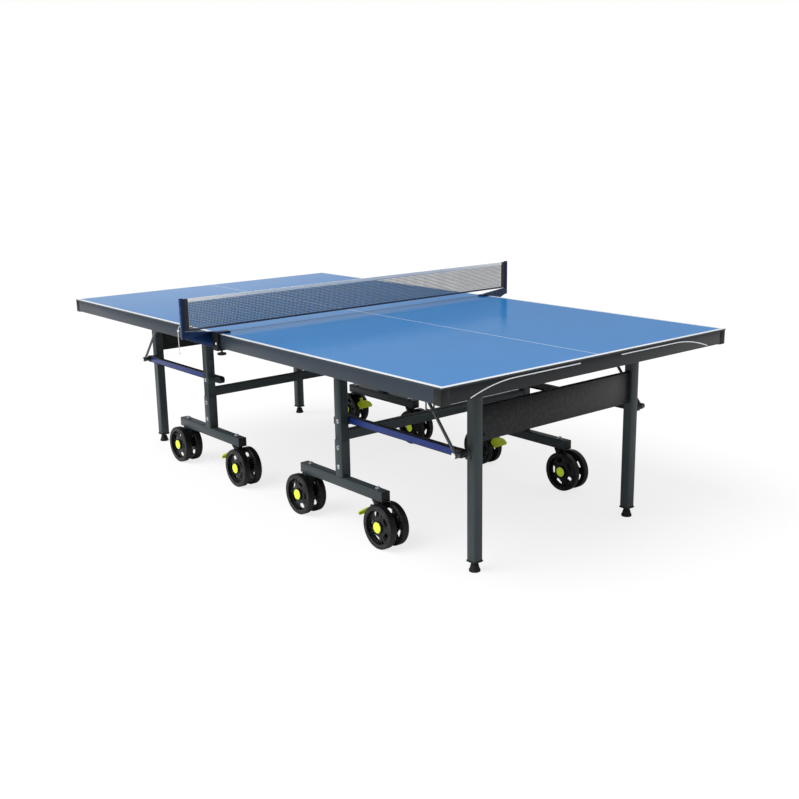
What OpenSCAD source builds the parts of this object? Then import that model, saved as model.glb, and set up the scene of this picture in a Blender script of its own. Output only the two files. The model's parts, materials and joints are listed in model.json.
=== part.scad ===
// Rollaway ping pong table: two folding half tables on wheeled carriages, with a clamp-on net.
// Millimetres, +Z up. The origin is on the floor under the middle of the net, X runs along the
// table and Y across it. Half a is on +X and half b is the same half turned round to -X.

/* [Playing top] */
// Length of the whole playing surface
table_l = 2740; // [2300:10:3300]
// Width of the playing surface
table_w = 1525; // [1270:5:1830]
// Height of the playing surface above the floor
table_h = 760; // [630:5:915]
// Gap between the two half tops under the net
half_gap = 6; // [5:1:12]
// Thickness of the playing board
board_t = 6; // [4:1:10]
// Height of the apron rails under the board
apron_h = 52; // [42:1:58]
// Depth of the apron rails, measured inwards
apron_d = 25; // [18:1:30]
// Sheet thickness of the folded rails
rail_wall = 2; // [1:0.5:3]
// Length of each arm of a corner cap
cap_l = 38; // [30:1:60]
// How far a corner cap hangs below the rails
cap_drop = 3; // [0:1:6]
// Height of the rails that stiffen the board from below
under_h = 25; // [20:1:27]
// Width of the two cross rails that carry the pivots
cross_w = 40; // [34:1:44]

/* [Frame tubes] */
// Side of the square tubes of legs, posts and beams
tube = 40; // [34:1:46]
// Wall of the square tubes
tube_wall = 2; // [1.5:0.5:3]
// Distance of the posts and beams from the middle line of the table
post_y = 515; // [460:1:560]
// Length of a wheel beam
beam_l = 530; // [450:5:640]
// Extra width of the sleeve round the foot of a post
sleeve_extra = 4; // [2:1:8]
// Length of the sleeve round the foot of a post
sleeve_l = 150; // [60:5:180]
// Height of the middle of the cross bar between the posts
cross_bar_z = 388; // [320:1:410]
// Thickness of the cross bar along the table
cross_bar_t = 30; // [20:1:38]
// Thickness of a beam's end cap
beam_cap_t = 3; // [2:1:6]

/* [End legs] */
// Distance of the leg tubes from the outer end of the top
leg_inset = 198; // [150:1:300]
// Distance of the leg tubes from the middle line of the table
leg_y = 430; // [380:1:440]
// Height of the lower end of the leg tubes
leg_bottom = 36; // [34:1:60]
// Offset of the leg pins from the middle of the tube, towards the net
leg_pin_offset = 10; // [0:1:10]
// Height of the cross panel between the legs
panel_h = 128; // [60:1:140]
// Distance from the playing surface down to the cross panel
panel_drop = 152; // [100:1:160]
// Thickness of the cross panel
panel_t = 20; // [10:1:30]
// Diameter of a levelling foot
foot_d = 42; // [30:1:50]
// Height of a levelling foot's pad
foot_h = 28; // [15:1:28]

/* [Fold linkage] */
// Distance from the playing surface down to the upper pivots
pivot_drop = 60; // [54:1:66]
// Distance from the net face of a post to its pivots
pivot_out = 28; // [25:1:36]
// Height of the lower pivots, on the middle of the link bars
link_z = 447; // [430:1:470]
// Height of a link bar
link_h = 30; // [24:1:34]
// Thickness of a link bar across the table
link_t = 20; // [12:1:20]
// Space between a link bar and the post beside it
link_gap = 5; // [5:1:8]
// Radius of the pivot pins
pin_r = 6; // [4:0.5:7]
// Radial running clearance of pins in their bores
pin_clear = 0.05; // [0.02:0.01:0.1]
// Side play between pieces that turn against each other
side_play = 1; // [0.5:0.25:1.5]
// Thickness of pivot plates
ear_t = 5; // [4:1:7]
// Thickness of the lug under a top that turns on a post
lug_t = 12; // [8:1:16]
// Space between the folded top and the wheel beams
fold_clear = 21; // [19:1:40]
// Radius of a stay rod
stay_r = 6; // [4:0.5:6]
// Angle of a stay rod above the floor at rest
stay_angle = 49.8; // [44:0.1:56]
// Space beside a stay rod in its guide channel
stay_play = 2; // [1.5:0.5:4]

/* [Casters] */
// Diameter of the wheels
wheel_d = 172; // [130:2:206]
// Width of one wheel
wheel_w = 30; // [16:1:36]
// Space between the two wheels of a caster
wheel_space = 30; // [18:1:36]
// Distance from the top of the wheels up to the beam
neck_h = 8; // [6:1:30]
// Distance of the axle behind the swivel axis
caster_trail = 45; // [36:1:50]
// Radius of a caster's axle
axle_r = 6; // [5:0.5:8]
// Radius of a caster's swivel stem
stem_r = 8; // [6:0.5:10]
// Radius of a hub cap
hub_cap_r = 22; // [18:1:26]
// Length of a brake pedal
pedal_l = 44; // [30:1:75]
// Width of a brake pedal
pedal_w = 86; // [24:1:90]

/* [Net] */
// Height of the net's upper edge above the playing surface
net_h = 152.5; // [140:0.5:185]
// Gap between the playing surface and the net's lower edge
net_lift = 24; // [10:1:30]
// Distance from the side line to the outer face of a net post
net_overhang = 152.5; // [125:0.5:185]
// Side of a net post
net_post_w = 14; // [12:1:24]
// Height of the white tape on the net's upper edge
tape_h = 15; // [10:1:20]
// Width of the black sleeve at each end of the net
net_sleeve_w = 23; // [15:1:35]
// Thickness of the jaws of a net clamp
jaw_t = 8; // [6:1:12]
// Reach of the upper jaw over the playing surface
jaw_reach = 50; // [40:1:80]
// Width of a net clamp along the table
jaw_w = 36; // [30:1:60]
// Radius of a clamp screw
screw_r = 5; // [4:0.5:6]
// Radius of a clamp screw's knob
knob_r = 19; // [15:1:22]

/* [Hidden] */
$fn = 64;

half_l = table_l / 2;
half_w = table_w / 2;
inner_x = half_gap / 2;
board_bottom = table_h - board_t;
apron_bottom = board_bottom - apron_h;
under_bottom = board_bottom - under_h;
caster_h = wheel_d + neck_h;
beam_top = caster_h + tube;
pivot_z = table_h - pivot_drop;
// The pivot stands where the folded top's net end just clears the beams
pivot_x = pivot_z + inner_x - beam_top - fold_clear;
post_face_x = pivot_x + pivot_out;
post_x = post_face_x + tube / 2;
leg_x = half_l - leg_inset;
leg_pin_x = leg_x - leg_pin_offset;
post_top = pivot_z + tube / 2;
leg_top = pivot_z + pin_r * 2;
ear_r = pin_r + 8;
bore_r = pin_r + pin_clear;
link_outer_y = post_y - tube / 2 - link_gap;
link_y = link_outer_y - link_t / 2;
leg_outer_y = leg_y + tube / 2;
// The link bar turns beside its post, and the stay rod outside the link bar
stay_eye_t = 12;
stay_y = link_outer_y + 15 + stay_eye_t / 2;
stay_tip_z = under_bottom + 11;
stay_l = (stay_tip_z - link_z) / sin(stay_angle);
channel_w = 2 * (stay_r + stay_play);
channel_wall = 4;
beam_end = beam_l / 2;
caster_x = beam_end - caster_trail;
bolt_r = 7;
bolt_h = 5;
pivot_head_h = 4;
foot_stem_l = 60;
net_top = table_h + net_h;
net_bottom = table_h + net_lift;
net_post_y = half_w + net_overhang - net_post_w;
net_end_y = net_post_y - net_sleeve_w;
net_t = 1.6;
tape_t = 3;
sleeve_t = 6;
clamp_gap = 1;
clamp_plate_t = 14;
lower_jaw_drop = 2;
lower_jaw_reach = 34;
net_post_drop = 8;
net_arm_rise = 14;
knob_gap = 12;
knob_h = 9;
lower_jaw_z = apron_bottom - lower_jaw_drop - jaw_t;
knob_top = lower_jaw_z - knob_gap;
clamp_x = inner_x + jaw_w / 2;
screw_y = half_w - 14;
screw_rest_gap = 0.3;
loop_wire_r = 2.5;
loop_w = 38;
loop_drop = 27;
loop_inset = 51;
cord_d = 3;
// The free end of the net's tension cord, from the outer face of its post down to the knot
cord_points = [
    [0, -915, 806], [0, -917.5, 806.4], [-0.5, -920, 806], [-1.5, -922.5, 803.5],
    [-2.5, -924, 799.5], [-3.2, -924.8, 794], [-3.8, -925.2, 788], [-4.3, -925.5, 781],
    [-4.7, -925.6, 774], [-5, -925.6, 767], [-5.2, -925.5, 760], [-5.3, -925.4, 753],
    [-5.3, -925.3, 746], [-5.2, -925.1, 739], [-5, -925, 732], [-4.7, -924.9, 725],
    [-4.4, -924.8, 718], [-4.1, -924.8, 711], [-3.8, -924.8, 704], [-3.6, -924.8, 697]
];
cord_sides = 8;

function unit(v) = v / norm(v);
function tangent(points, i) = unit(
    points[min(i + 1, len(points) - 1)] - points[max(i - 1, 0)]
);
function ring(centre, along, radius, sides) = let (
    side = unit(cross(along, [1, 0, 0])),
    up = cross(side, along)
) [for (k = [0:sides - 1]) centre
    + radius * (cos(360 * k / sides) * side + sin(360 * k / sides) * up)];

module half_b() {
    rotate([0, 0, 180]) children();
}

module both_sides() {
    for (side = [0, 1]) mirror([0, side, 0]) children();
}

// A bar along Y with its middle at x, z
module pin_y(x, z, y0, y1, r) {
    translate([x, y0, z]) rotate([-90, 0, 0]) cylinder(r = r, h = y1 - y0);
}

module box(low, high) {
    translate(low) cube(high - low);
}

// A folded sheet rail along X, open towards +Y
module folded_rail(l) {
    difference() {
        box([0, 0, 0], [l, apron_d, apron_h]);
        box([-1, rail_wall, rail_wall], [l + 1, apron_d + 1, apron_h - rail_wall]);
    }
}

module top_panel() {
    color("#4a86c8") box([inner_x, -half_w, board_bottom], [half_l, half_w, table_h]);
}

module side_rails() {
    color("#46505c") both_sides()
        translate([inner_x, half_w, apron_bottom]) mirror([0, 1, 0])
            folded_rail(half_l - inner_x - cap_l);
}

module end_rails() {
    color("#202325") {
        translate([half_l, -half_w + cap_l, apron_bottom]) rotate([0, 0, 90])
            folded_rail(table_w - 2 * cap_l);
        translate([inner_x, half_w - apron_d, apron_bottom]) rotate([0, 0, -90])
            folded_rail(table_w - 2 * apron_d);
    }
}

// A plate that hangs from a cross rail round a pivot pin
module pivot_plate(x, y0, y1) {
    difference() {
        union() {
            box([x - ear_r, y0, pivot_z], [x + ear_r, y1, under_bottom]);
            pin_y(x, pivot_z, y0, y1, ear_r);
        }
        pin_y(x, pivot_z, y0 - 1, y1 + 1, bore_r);
    }
}

module cross_rails() {
    rail_y = half_w - apron_d;
    color("#2b3033") {
        for (x = [pivot_x, leg_pin_x])
            box([x - cross_w / 2, -rail_y, under_bottom], [x + cross_w / 2, rail_y, board_bottom]);
        both_sides() pivot_plate(pivot_x, post_y - lug_t / 2, post_y + lug_t / 2);
        for (y = [-leg_y, leg_y], side = [-1, 1]) {
            inner = y + side * (tube / 2 + side_play);
            outer = inner + side * ear_t;
            pivot_plate(leg_pin_x, min(inner, outer), max(inner, outer));
        }
    }
}

// The open channels that the tips of the stay rods slide along
module guide_channels() {
    color("#2b3033") both_sides() difference() {
        box([pivot_x + cross_w / 2, stay_y - channel_w / 2 - channel_wall, under_bottom],
            [leg_pin_x - cross_w / 2, stay_y + channel_w / 2 + channel_wall, board_bottom]);
        box([pivot_x, stay_y - channel_w / 2, under_bottom - 1],
            [leg_pin_x, stay_y + channel_w / 2, board_bottom - channel_wall]);
    }
}

module corner_cap() {
    inner_r = 6;
    translate([half_l - cap_l, half_w - cap_l, apron_bottom - cap_drop])
        linear_extrude(apron_h + cap_drop) union() {
            square([cap_l, cap_l - inner_r]);
            square([cap_l - inner_r, cap_l]);
            translate([cap_l - inner_r, cap_l - inner_r]) circle(inner_r);
        }
}

// The wire loop under a corner that a hand pulls the half open with
module pull_loop() {
    y = -half_w + apron_d / 2;
    top = apron_bottom;
    low = apron_bottom - loop_drop;
    x1 = half_l - cap_l - loop_inset + loop_w;
    x0 = x1 - loop_w;
    for (x = [x0, x1]) translate([x, y, low]) cylinder(r = loop_wire_r, h = top - low);
    translate([x0, y, low]) rotate([0, 90, 0]) cylinder(r = loop_wire_r, h = x1 - x0);
    for (x = [x0, x1]) translate([x, y, low]) sphere(loop_wire_r);
}

module corner_fittings() {
    color("#151617") {
        both_sides() corner_cap();
        pull_loop();
    }
}

module square_tube(l) {
    difference() {
        box([-tube / 2, -tube / 2, 0], [tube / 2, tube / 2, l]);
        inside = tube / 2 - tube_wall;
        box([-inside, -inside, -1], [inside, inside, l + 1]);
    }
}

module post_ears() {
    for (side = [-1, 1]) {
        inner = side * (lug_t / 2 + side_play);
        outer = inner + side * ear_t;
        y0 = post_y + min(inner, outer);
        y1 = post_y + max(inner, outer);
        difference() {
            union() {
                box([pivot_x, y0, pivot_z - ear_r], [post_face_x, y1, pivot_z + ear_r]);
                pin_y(pivot_x, pivot_z, y0, y1, ear_r);
            }
            pin_y(pivot_x, pivot_z, y0 - 1, y1 + 1, bore_r);
        }
    }
}

// The bracket on a post that the link bar turns on
module link_ear() {
    y0 = link_outer_y + side_play;
    y1 = y0 + ear_t;
    difference() {
        union() {
            box([pivot_x, y0, link_z - ear_r], [post_face_x, y1, link_z + ear_r]);
            box([post_face_x - ear_t, y0, link_z - ear_r],
                [post_face_x, post_y + tube / 2, link_z + ear_r]);
            pin_y(pivot_x, link_z, y0, y1, ear_r);
        }
        pin_y(pivot_x, link_z, y0 - 1, y1 + 1, bore_r);
    }
}

module carriage_frame() {
    sleeve = tube + sleeve_extra;
    color("#3a4145") {
        both_sides() {
            translate([post_x, post_y, beam_top]) square_tube(post_top - beam_top);
            difference() {
                box([post_x - sleeve / 2, post_y - sleeve / 2, beam_top],
                    [post_x + sleeve / 2, post_y + sleeve / 2, beam_top + sleeve_l]);
                box([post_x - tube / 2 + 1, post_y - tube / 2 + 1, beam_top - 1],
                    [post_x + tube / 2 - 1, post_y + tube / 2 - 1, beam_top + sleeve_l + 1]);
            }
            post_ears();
            link_ear();
        }
        box([post_x - cross_bar_t / 2, -post_y + tube / 2 - 1, cross_bar_z - tube / 2],
            [post_x + cross_bar_t / 2, post_y - tube / 2 + 1, cross_bar_z + tube / 2]);
    }
}

module wheel_beams() {
    color("#3a4145") both_sides() difference() {
        translate([post_x - beam_end, post_y, caster_h + tube / 2]) rotate([0, 90, 0])
            square_tube(beam_l);
        for (side = [-1, 1]) translate([post_x + side * caster_x, post_y, caster_h - 1])
            cylinder(r = stem_r + pin_clear, h = tube_wall + 2);
    }
}

module beam_caps() {
    color("#151617") both_sides() for (side = [-1, 1]) {
        face = post_x + side * beam_end;
        outer = face + side * beam_cap_t;
        box([min(face, outer), post_y - tube / 2, caster_h],
            [max(face, outer), post_y + tube / 2, beam_top]);
    }
}

module carriage_bolts() {
    sleeve_face = post_y + (tube + sleeve_extra) / 2;
    bolt_heights = [beam_top + 41, beam_top + 120];
    caster_nut_h = 7;
    ear_outer = lug_t / 2 + side_play + ear_t;
    color("#b9bcc0") both_sides() {
        for (z = bolt_heights) {
            pin_y(post_x, z, sleeve_face, sleeve_face + bolt_h, bolt_r);
            pin_y(post_x, z, post_y - (tube + sleeve_extra) / 2 - bolt_h,
                post_y - (tube + sleeve_extra) / 2, bolt_r);
        }
        pin_y(post_x, link_z, post_y + tube / 2, post_y + tube / 2 + bolt_h, bolt_r);
        for (side = [-1, 1]) translate([post_x + side * caster_x, post_y, beam_top])
            cylinder(r = bolt_r + 3, h = caster_nut_h, $fn = 6);
        pin_y(pivot_x, pivot_z, post_y - ear_outer - pivot_head_h,
            post_y + ear_outer + pivot_head_h, pin_r);
        for (side = [-1, 1]) {
            inner = side * ear_outer;
            outer = inner + side * pivot_head_h;
            pin_y(pivot_x, pivot_z, post_y + min(inner, outer), post_y + max(inner, outer), pin_r + 3);
        }
        pin_y(pivot_x, link_z, link_y - link_t / 2 - side_play - pivot_head_h,
            link_outer_y + side_play + ear_t, pin_r);
        pin_y(pivot_x, link_z, link_y - link_t / 2 - side_play - pivot_head_h,
            link_y - link_t / 2 - side_play, pin_r + 3);
    }
}

module end_leg() {
    stem_hole = pin_r + pin_clear;
    plug_h = 20;
    translate([leg_x, leg_y, leg_bottom]) square_tube(leg_top - leg_bottom);
    difference() {
        inside = tube / 2 - tube_wall + 0.5;
        box([leg_x - inside, leg_y - inside, leg_bottom],
            [leg_x + inside, leg_y + inside, leg_bottom + plug_h]);
        translate([leg_x, leg_y, leg_bottom - 1]) cylinder(r = stem_hole, h = plug_h + 2);
    }
    reach = tube / 2 + side_play + ear_t + 1;
    pin_y(leg_pin_x, pivot_z, leg_y - reach, leg_y + reach, pin_r);
    link_inner = link_y - link_t / 2;
    stay_outer = stay_y + stay_eye_t / 2;
    pin_y(leg_pin_x, link_z, leg_outer_y - 1, stay_outer + side_play + 5, pin_r);
    pin_y(leg_pin_x, link_z, leg_outer_y - 1, link_inner - side_play, ear_r);
    box([leg_pin_x - ear_r + 2, leg_outer_y - 1, link_z - ear_r * 2],
        [leg_pin_x + ear_r - 2, leg_outer_y + 6, link_z]);
    pin_y(leg_pin_x, link_z, link_outer_y + side_play, stay_y - stay_eye_t / 2 - side_play, pin_r + 3);
    pin_y(leg_pin_x, link_z, stay_outer + side_play, stay_outer + side_play + 5, pin_r + 4);
}

module end_legs() {
    color("#4a5153") both_sides() end_leg();
}

module leg_panel() {
    top = table_h - panel_drop;
    edge = leg_y - tube / 2;
    color("#1c1e20") box([leg_x - panel_t / 2, -edge, top - panel_h], [leg_x + panel_t / 2, edge, top]);
}

module foot(side) {
    rim_h = 9;
    color("#161718") translate([leg_x, side * leg_y, 0]) rotate_extrude() polygon([
        [0, 0], [foot_d / 2, 0], [foot_d / 2, rim_h], [foot_d / 3, foot_h], [pin_r, foot_h],
        [pin_r, foot_h + foot_stem_l], [0, foot_h + foot_stem_l]
    ]);
}

module link_bars() {
    end_r = link_h / 2;
    color("#2e3f86") both_sides() difference() {
        union() {
            box([pivot_x, link_outer_y - link_t, link_z - end_r], [leg_pin_x, link_outer_y, link_z + end_r]);
            pin_y(pivot_x, link_z, link_outer_y - link_t, link_outer_y, end_r);
            pin_y(leg_pin_x, link_z, link_outer_y - link_t, link_outer_y, end_r);
        }
        for (x = [pivot_x, leg_pin_x])
            pin_y(x, link_z, link_outer_y - link_t - 1, link_outer_y + 1, bore_r);
    }
}

module stay_rods() {
    eye_r = 12;
    color("#55585c") both_sides() translate([leg_pin_x, stay_y, link_z]) difference() {
        union() {
            rotate([0, stay_angle - 90, 0]) translate([0, 0, eye_r - 3])
                cylinder(r = stay_r, h = stay_l - eye_r + 3);
            pin_y(0, 0, -stay_eye_t / 2, stay_eye_t / 2, eye_r);
        }
        pin_y(0, 0, -stay_eye_t, stay_eye_t, bore_r);
    }
}

// Casters are drawn with the swivel axis at the origin and the wheels trailing along +X
module caster_at(n) {
    outer = n == 1 || n == 3;
    y = n <= 2 ? -post_y : post_y;
    translate([post_x + (outer ? caster_x : -caster_x), y, 0]) rotate([0, 0, outer ? 0 : 180])
        children();
}

spine_t = wheel_space - 2;
wheel_r = wheel_d / 2;
lever_back = 26;
lever_drop = 26;
lever_x = -lever_back;
lever_z = wheel_d - lever_drop;
lever_pin_r = 3;
lever_hub_r = 8;

module caster_fork() {
    neck_r = 22;
    boss_r = 20;
    neck_low = caster_h - neck_h;
    color("#1b1c1e") {
        translate([0, 0, neck_low]) cylinder(r = neck_r, h = neck_h);
        translate([0, 0, caster_h - 1]) cylinder(r = stem_r, h = tube / 2);
        rotate([90, 0, 0]) translate([0, 0, -spine_t / 2]) linear_extrude(spine_t) union() {
            polygon([
                [-18, neck_low + 2], [20, neck_low + 2],
                [caster_trail + boss_r, wheel_r + 4], [caster_trail - boss_r, wheel_r - 4]
            ]);
            translate([caster_trail, wheel_r]) circle(boss_r);
        }
        pin_y(caster_trail, wheel_r, -wheel_space / 2 - wheel_w + 1, wheel_space / 2 + wheel_w - 1, axle_r);
    }
}

// The ears and pin that a brake lever turns on
module lever_ears() {
    ear = 3;
    color("#1b1c1e") for (side = [-1, 1]) {
        inner = side * (spine_t / 2 - ear);
        outer = side * spine_t / 2;
        y0 = min(inner, outer);
        y1 = max(inner, outer);
        box([lever_x, y0, lever_z - lever_hub_r], [0, y1, lever_z + lever_hub_r]);
        pin_y(lever_x, lever_z, y0, y1, lever_hub_r);
    }
    color("#1b1c1e") pin_y(lever_x, lever_z, -spine_t / 2, spine_t / 2, lever_pin_r);
}

module braked_fork() {
    difference() {
        caster_fork();
        box([lever_x - lever_hub_r - 2, -spine_t / 2 + 3, lever_z - lever_hub_r - 6],
            [lever_hub_r, spine_t / 2 - 3, lever_z + lever_hub_r + 6]);
    }
    lever_ears();
}

module wheel() {
    hub_r = hub_cap_r + 3;
    rim_r = wheel_r - 18;
    web_low = wheel_w * 0.35;
    web_high = wheel_w * 0.65;
    edge = 3;
    windows = 5;
    bore = axle_r + pin_clear;
    difference() {
        rotate_extrude($fn = 96) polygon([
            [bore, 0], [hub_r, 0], [hub_r, web_low], [rim_r, web_low], [rim_r, 0], [wheel_r - edge, 0],
            [wheel_r, edge], [wheel_r, wheel_w - edge], [wheel_r - edge, wheel_w],
            [rim_r, wheel_w], [rim_r, web_high], [hub_r, web_high], [hub_r, wheel_w], [bore, wheel_w]
        ]);
        for (k = [0:windows - 1]) rotate([0, 0, 360 * k / windows])
            translate([(hub_r + rim_r) / 2, 0, wheel_w / 2])
                cube([rim_r - hub_r - 8, 26, wheel_w], center = true);
    }
    translate([0, 0, wheel_w]) cylinder(r = hub_cap_r, h = 2);
}

module caster_wheels() {
    color("#1c1c1e") for (side = [0, 1])
        translate([caster_trail, 0, wheel_r]) mirror([0, side, 0])
            translate([0, wheel_space / 2, 0]) rotate([-90, 0, 0]) wheel();
}

module brake_lever() {
    hub_t = spine_t - 6 - 1;
    pedal_t = 5;
    slope = 35;
    color("#b7c400") difference() {
        union() {
            pin_y(lever_x, lever_z, -hub_t / 2, hub_t / 2, lever_hub_r - 1);
            translate([lever_x, 0, lever_z]) rotate([0, -slope, 0]) {
                box([-20, 1 - hub_t / 2, -4], [-lever_pin_r - 1, hub_t / 2 - 1, 3]);
                box([-16 - pedal_l, -pedal_w / 2, -1], [-16, pedal_w / 2, pedal_t - 1]);
            }
        }
        pin_y(lever_x, lever_z, -hub_t, hub_t, lever_pin_r + pin_clear);
    }
}

// The clamp and post at one end of the net, drawn for the +Y side of half a
module net_bracket() {
    face = half_w + clamp_gap;
    x1 = inner_x + jaw_w;
    jaw_top = table_h + jaw_t;
    post_low = table_h - net_post_drop;
    color("#1c3a6e") difference() {
        union() {
            box([inner_x, face, lower_jaw_z], [x1, face + clamp_plate_t, jaw_top]);
            box([inner_x, half_w - jaw_reach, table_h], [x1, face + 1, jaw_top]);
            box([inner_x, half_w - lower_jaw_reach, lower_jaw_z], [x1, face + 1, lower_jaw_z + jaw_t]);
            // The arm gets shallower from the clamp out to the post
            translate([-net_post_w / 2, 0, 0]) rotate([90, 0, 90]) linear_extrude(net_post_w) polygon([
                [face, apron_bottom], [face + clamp_plate_t, apron_bottom], [net_post_y + 1, post_low],
                [net_post_y + 1, jaw_top + net_arm_rise], [face, jaw_top]
            ]);
            box([-net_post_w / 2, net_post_y, post_low],
                [net_post_w / 2, net_post_y + net_post_w, net_top + 3]);
        }
        translate([clamp_x, screw_y, lower_jaw_z - 1])
            cylinder(r = screw_r + pin_clear, h = jaw_t + 2);
    }
}

module clamp_screw() {
    color("#17181a") translate([clamp_x, screw_y, 0]) {
        translate([0, 0, knob_top - knob_h]) cylinder(r = knob_r, h = knob_h);
        translate([0, 0, knob_top - 1]) cylinder(r = screw_r, h = apron_bottom - screw_rest_gap - knob_top + 1);
    }
}

module net_side(far) {
    mirror([0, far ? 0 : 1, 0]) children();
}

module net_mesh() {
    color("#5f7186") box([-net_t / 2, -net_end_y, net_bottom], [net_t / 2, net_end_y, net_top - tape_h]);
}

module net_tape() {
    color("#f4f5f6")
        box([-tape_t / 2, -net_end_y, net_top - tape_h], [tape_t / 2, net_end_y, net_top]);
}

module net_sleeves() {
    color("#17181a") both_sides()
        box([-sleeve_t / 2, net_end_y, net_bottom], [sleeve_t / 2, net_post_y, net_top]);
}

module net_cord() {
    rings = len(cord_points);
    points = [for (i = [0:rings - 1])
        each ring(cord_points[i], tangent(cord_points, i), cord_d / 2, cord_sides)];
    sides = [for (i = [0:rings - 2], k = [0:cord_sides - 1]) [
        i * cord_sides + k, i * cord_sides + (k + 1) % cord_sides,
        (i + 1) * cord_sides + (k + 1) % cord_sides, (i + 1) * cord_sides + k
    ]];
    first = [for (k = [cord_sides - 1:-1:0]) k];
    last = [for (k = [0:cord_sides - 1]) (rings - 1) * cord_sides + k];
    color("#e4e5e6") polyhedron(points = points, faces = concat([first, last], sides), convexity = 4);
}

top_panel();  // top_panel_a
side_rails();  // side_rails_a
end_rails();  // end_rails_a
cross_rails();  // cross_rails_a
guide_channels();  // guide_channels_a
corner_fittings();  // corner_fittings_a
carriage_frame();  // carriage_frame_a
wheel_beams();  // wheel_beams_a
beam_caps();  // beam_caps_a
carriage_bolts();  // carriage_bolts_a
end_legs();  // end_legs_a
leg_panel();  // leg_panel_a
foot(-1);  // foot_a1
foot(1);  // foot_a2
link_bars();  // link_bars_a
stay_rods();  // stay_rods_a
half_b() top_panel();  // top_panel_b
half_b() side_rails();  // side_rails_b
half_b() end_rails();  // end_rails_b
half_b() cross_rails();  // cross_rails_b
half_b() guide_channels();  // guide_channels_b
half_b() corner_fittings();  // corner_fittings_b
half_b() carriage_frame();  // carriage_frame_b
half_b() wheel_beams();  // wheel_beams_b
half_b() beam_caps();  // beam_caps_b
half_b() carriage_bolts();  // carriage_bolts_b
half_b() end_legs();  // end_legs_b
half_b() leg_panel();  // leg_panel_b
half_b() foot(-1);  // foot_b1
half_b() foot(1);  // foot_b2
half_b() link_bars();  // link_bars_b
half_b() stay_rods();  // stay_rods_b
caster_at(1) braked_fork();  // caster_fork_a1
caster_at(2) caster_fork();  // caster_fork_a2
caster_at(3) caster_fork();  // caster_fork_a3
caster_at(4) braked_fork();  // caster_fork_a4
half_b() caster_at(1) braked_fork();  // caster_fork_b1
half_b() caster_at(2) caster_fork();  // caster_fork_b2
half_b() caster_at(3) caster_fork();  // caster_fork_b3
half_b() caster_at(4) braked_fork();  // caster_fork_b4
caster_at(1) caster_wheels();  // caster_wheels_a1
caster_at(2) caster_wheels();  // caster_wheels_a2
caster_at(3) caster_wheels();  // caster_wheels_a3
caster_at(4) caster_wheels();  // caster_wheels_a4
half_b() caster_at(1) caster_wheels();  // caster_wheels_b1
half_b() caster_at(2) caster_wheels();  // caster_wheels_b2
half_b() caster_at(3) caster_wheels();  // caster_wheels_b3
half_b() caster_at(4) caster_wheels();  // caster_wheels_b4
caster_at(1) brake_lever();  // brake_lever_a1
caster_at(4) brake_lever();  // brake_lever_a4
half_b() caster_at(1) brake_lever();  // brake_lever_b1
half_b() caster_at(4) brake_lever();  // brake_lever_b4
net_side(false) net_bracket();  // net_bracket_near
net_side(true) net_bracket();  // net_bracket_far
net_side(false) clamp_screw();  // clamp_screw_near
net_side(true) clamp_screw();  // clamp_screw_far
net_mesh();
net_tape();
net_sleeves();
net_cord();
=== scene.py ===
# A rollaway ping pong table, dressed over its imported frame
import json
import math

import bmesh
import bpy
from mathutils import Matrix, Vector


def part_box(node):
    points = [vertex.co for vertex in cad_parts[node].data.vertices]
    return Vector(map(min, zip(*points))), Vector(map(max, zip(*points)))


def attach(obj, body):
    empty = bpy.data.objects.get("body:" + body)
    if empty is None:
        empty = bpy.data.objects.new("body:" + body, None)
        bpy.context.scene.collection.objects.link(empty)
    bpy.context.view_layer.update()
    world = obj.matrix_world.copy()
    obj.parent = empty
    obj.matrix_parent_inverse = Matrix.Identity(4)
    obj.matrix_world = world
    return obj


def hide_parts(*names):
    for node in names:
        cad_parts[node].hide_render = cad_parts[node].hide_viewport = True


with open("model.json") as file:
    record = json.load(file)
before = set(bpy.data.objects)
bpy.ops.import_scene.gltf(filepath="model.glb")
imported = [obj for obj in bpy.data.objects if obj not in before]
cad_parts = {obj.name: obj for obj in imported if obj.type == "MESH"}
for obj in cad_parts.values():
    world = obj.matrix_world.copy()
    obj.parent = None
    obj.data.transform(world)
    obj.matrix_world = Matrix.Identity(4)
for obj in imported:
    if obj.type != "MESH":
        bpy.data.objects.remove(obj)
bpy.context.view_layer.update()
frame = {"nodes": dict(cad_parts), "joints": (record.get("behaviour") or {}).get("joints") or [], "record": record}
scene = bpy.context.scene
mm = 0.001
halves = ("a", "b")
print("frame loaded:", len(frame["nodes"]), "nodes")


# ---- camera, at a given place, aim and lens ----
cameraSetup = {
    "place": (3.737, -2.898, 1.500),
    "azimuth": 50.30,
    "elevation": 13.65,
    "roll": -0.90,
    "lens": 47.68,
}


def makeCamera():
    data = bpy.data.cameras.new("viewCamera")
    data.lens = cameraSetup["lens"]
    camera = bpy.data.objects.new("viewCamera", data)
    scene.collection.objects.link(camera)
    az, el, roll = (math.radians(cameraSetup[k]) for k in ("azimuth", "elevation", "roll"))
    back = Vector((math.sin(az) * math.cos(el), -math.cos(az) * math.cos(el), math.sin(el)))
    right = Vector((0, 0, 1)).cross(back).normalized()
    up = back.cross(right)
    rolledRight = right * math.cos(roll) + up * math.sin(roll)
    rolledUp = up * math.cos(roll) - right * math.sin(roll)
    turn = Matrix((rolledRight, rolledUp, back)).transposed()
    camera.matrix_world = Matrix.Translation(cameraSetup["place"]) @ turn.to_4x4()
    scene.camera = camera


makeCamera()
scene.view_settings.view_transform = "Standard"
scene.view_settings.look = "None"


# ---- small helpers ----
def colour(hexText):
    values = [int(hexText[i:i + 2], 16) / 255 for i in (0, 2, 4)]
    return tuple(v / 12.92 if v <= 0.04045 else ((v + 0.055) / 1.055) ** 2.4 for v in values) + (1,)


def addObject(name, mesh):
    made = bpy.data.objects.new(name, mesh)
    scene.collection.objects.link(made)
    return made


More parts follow.
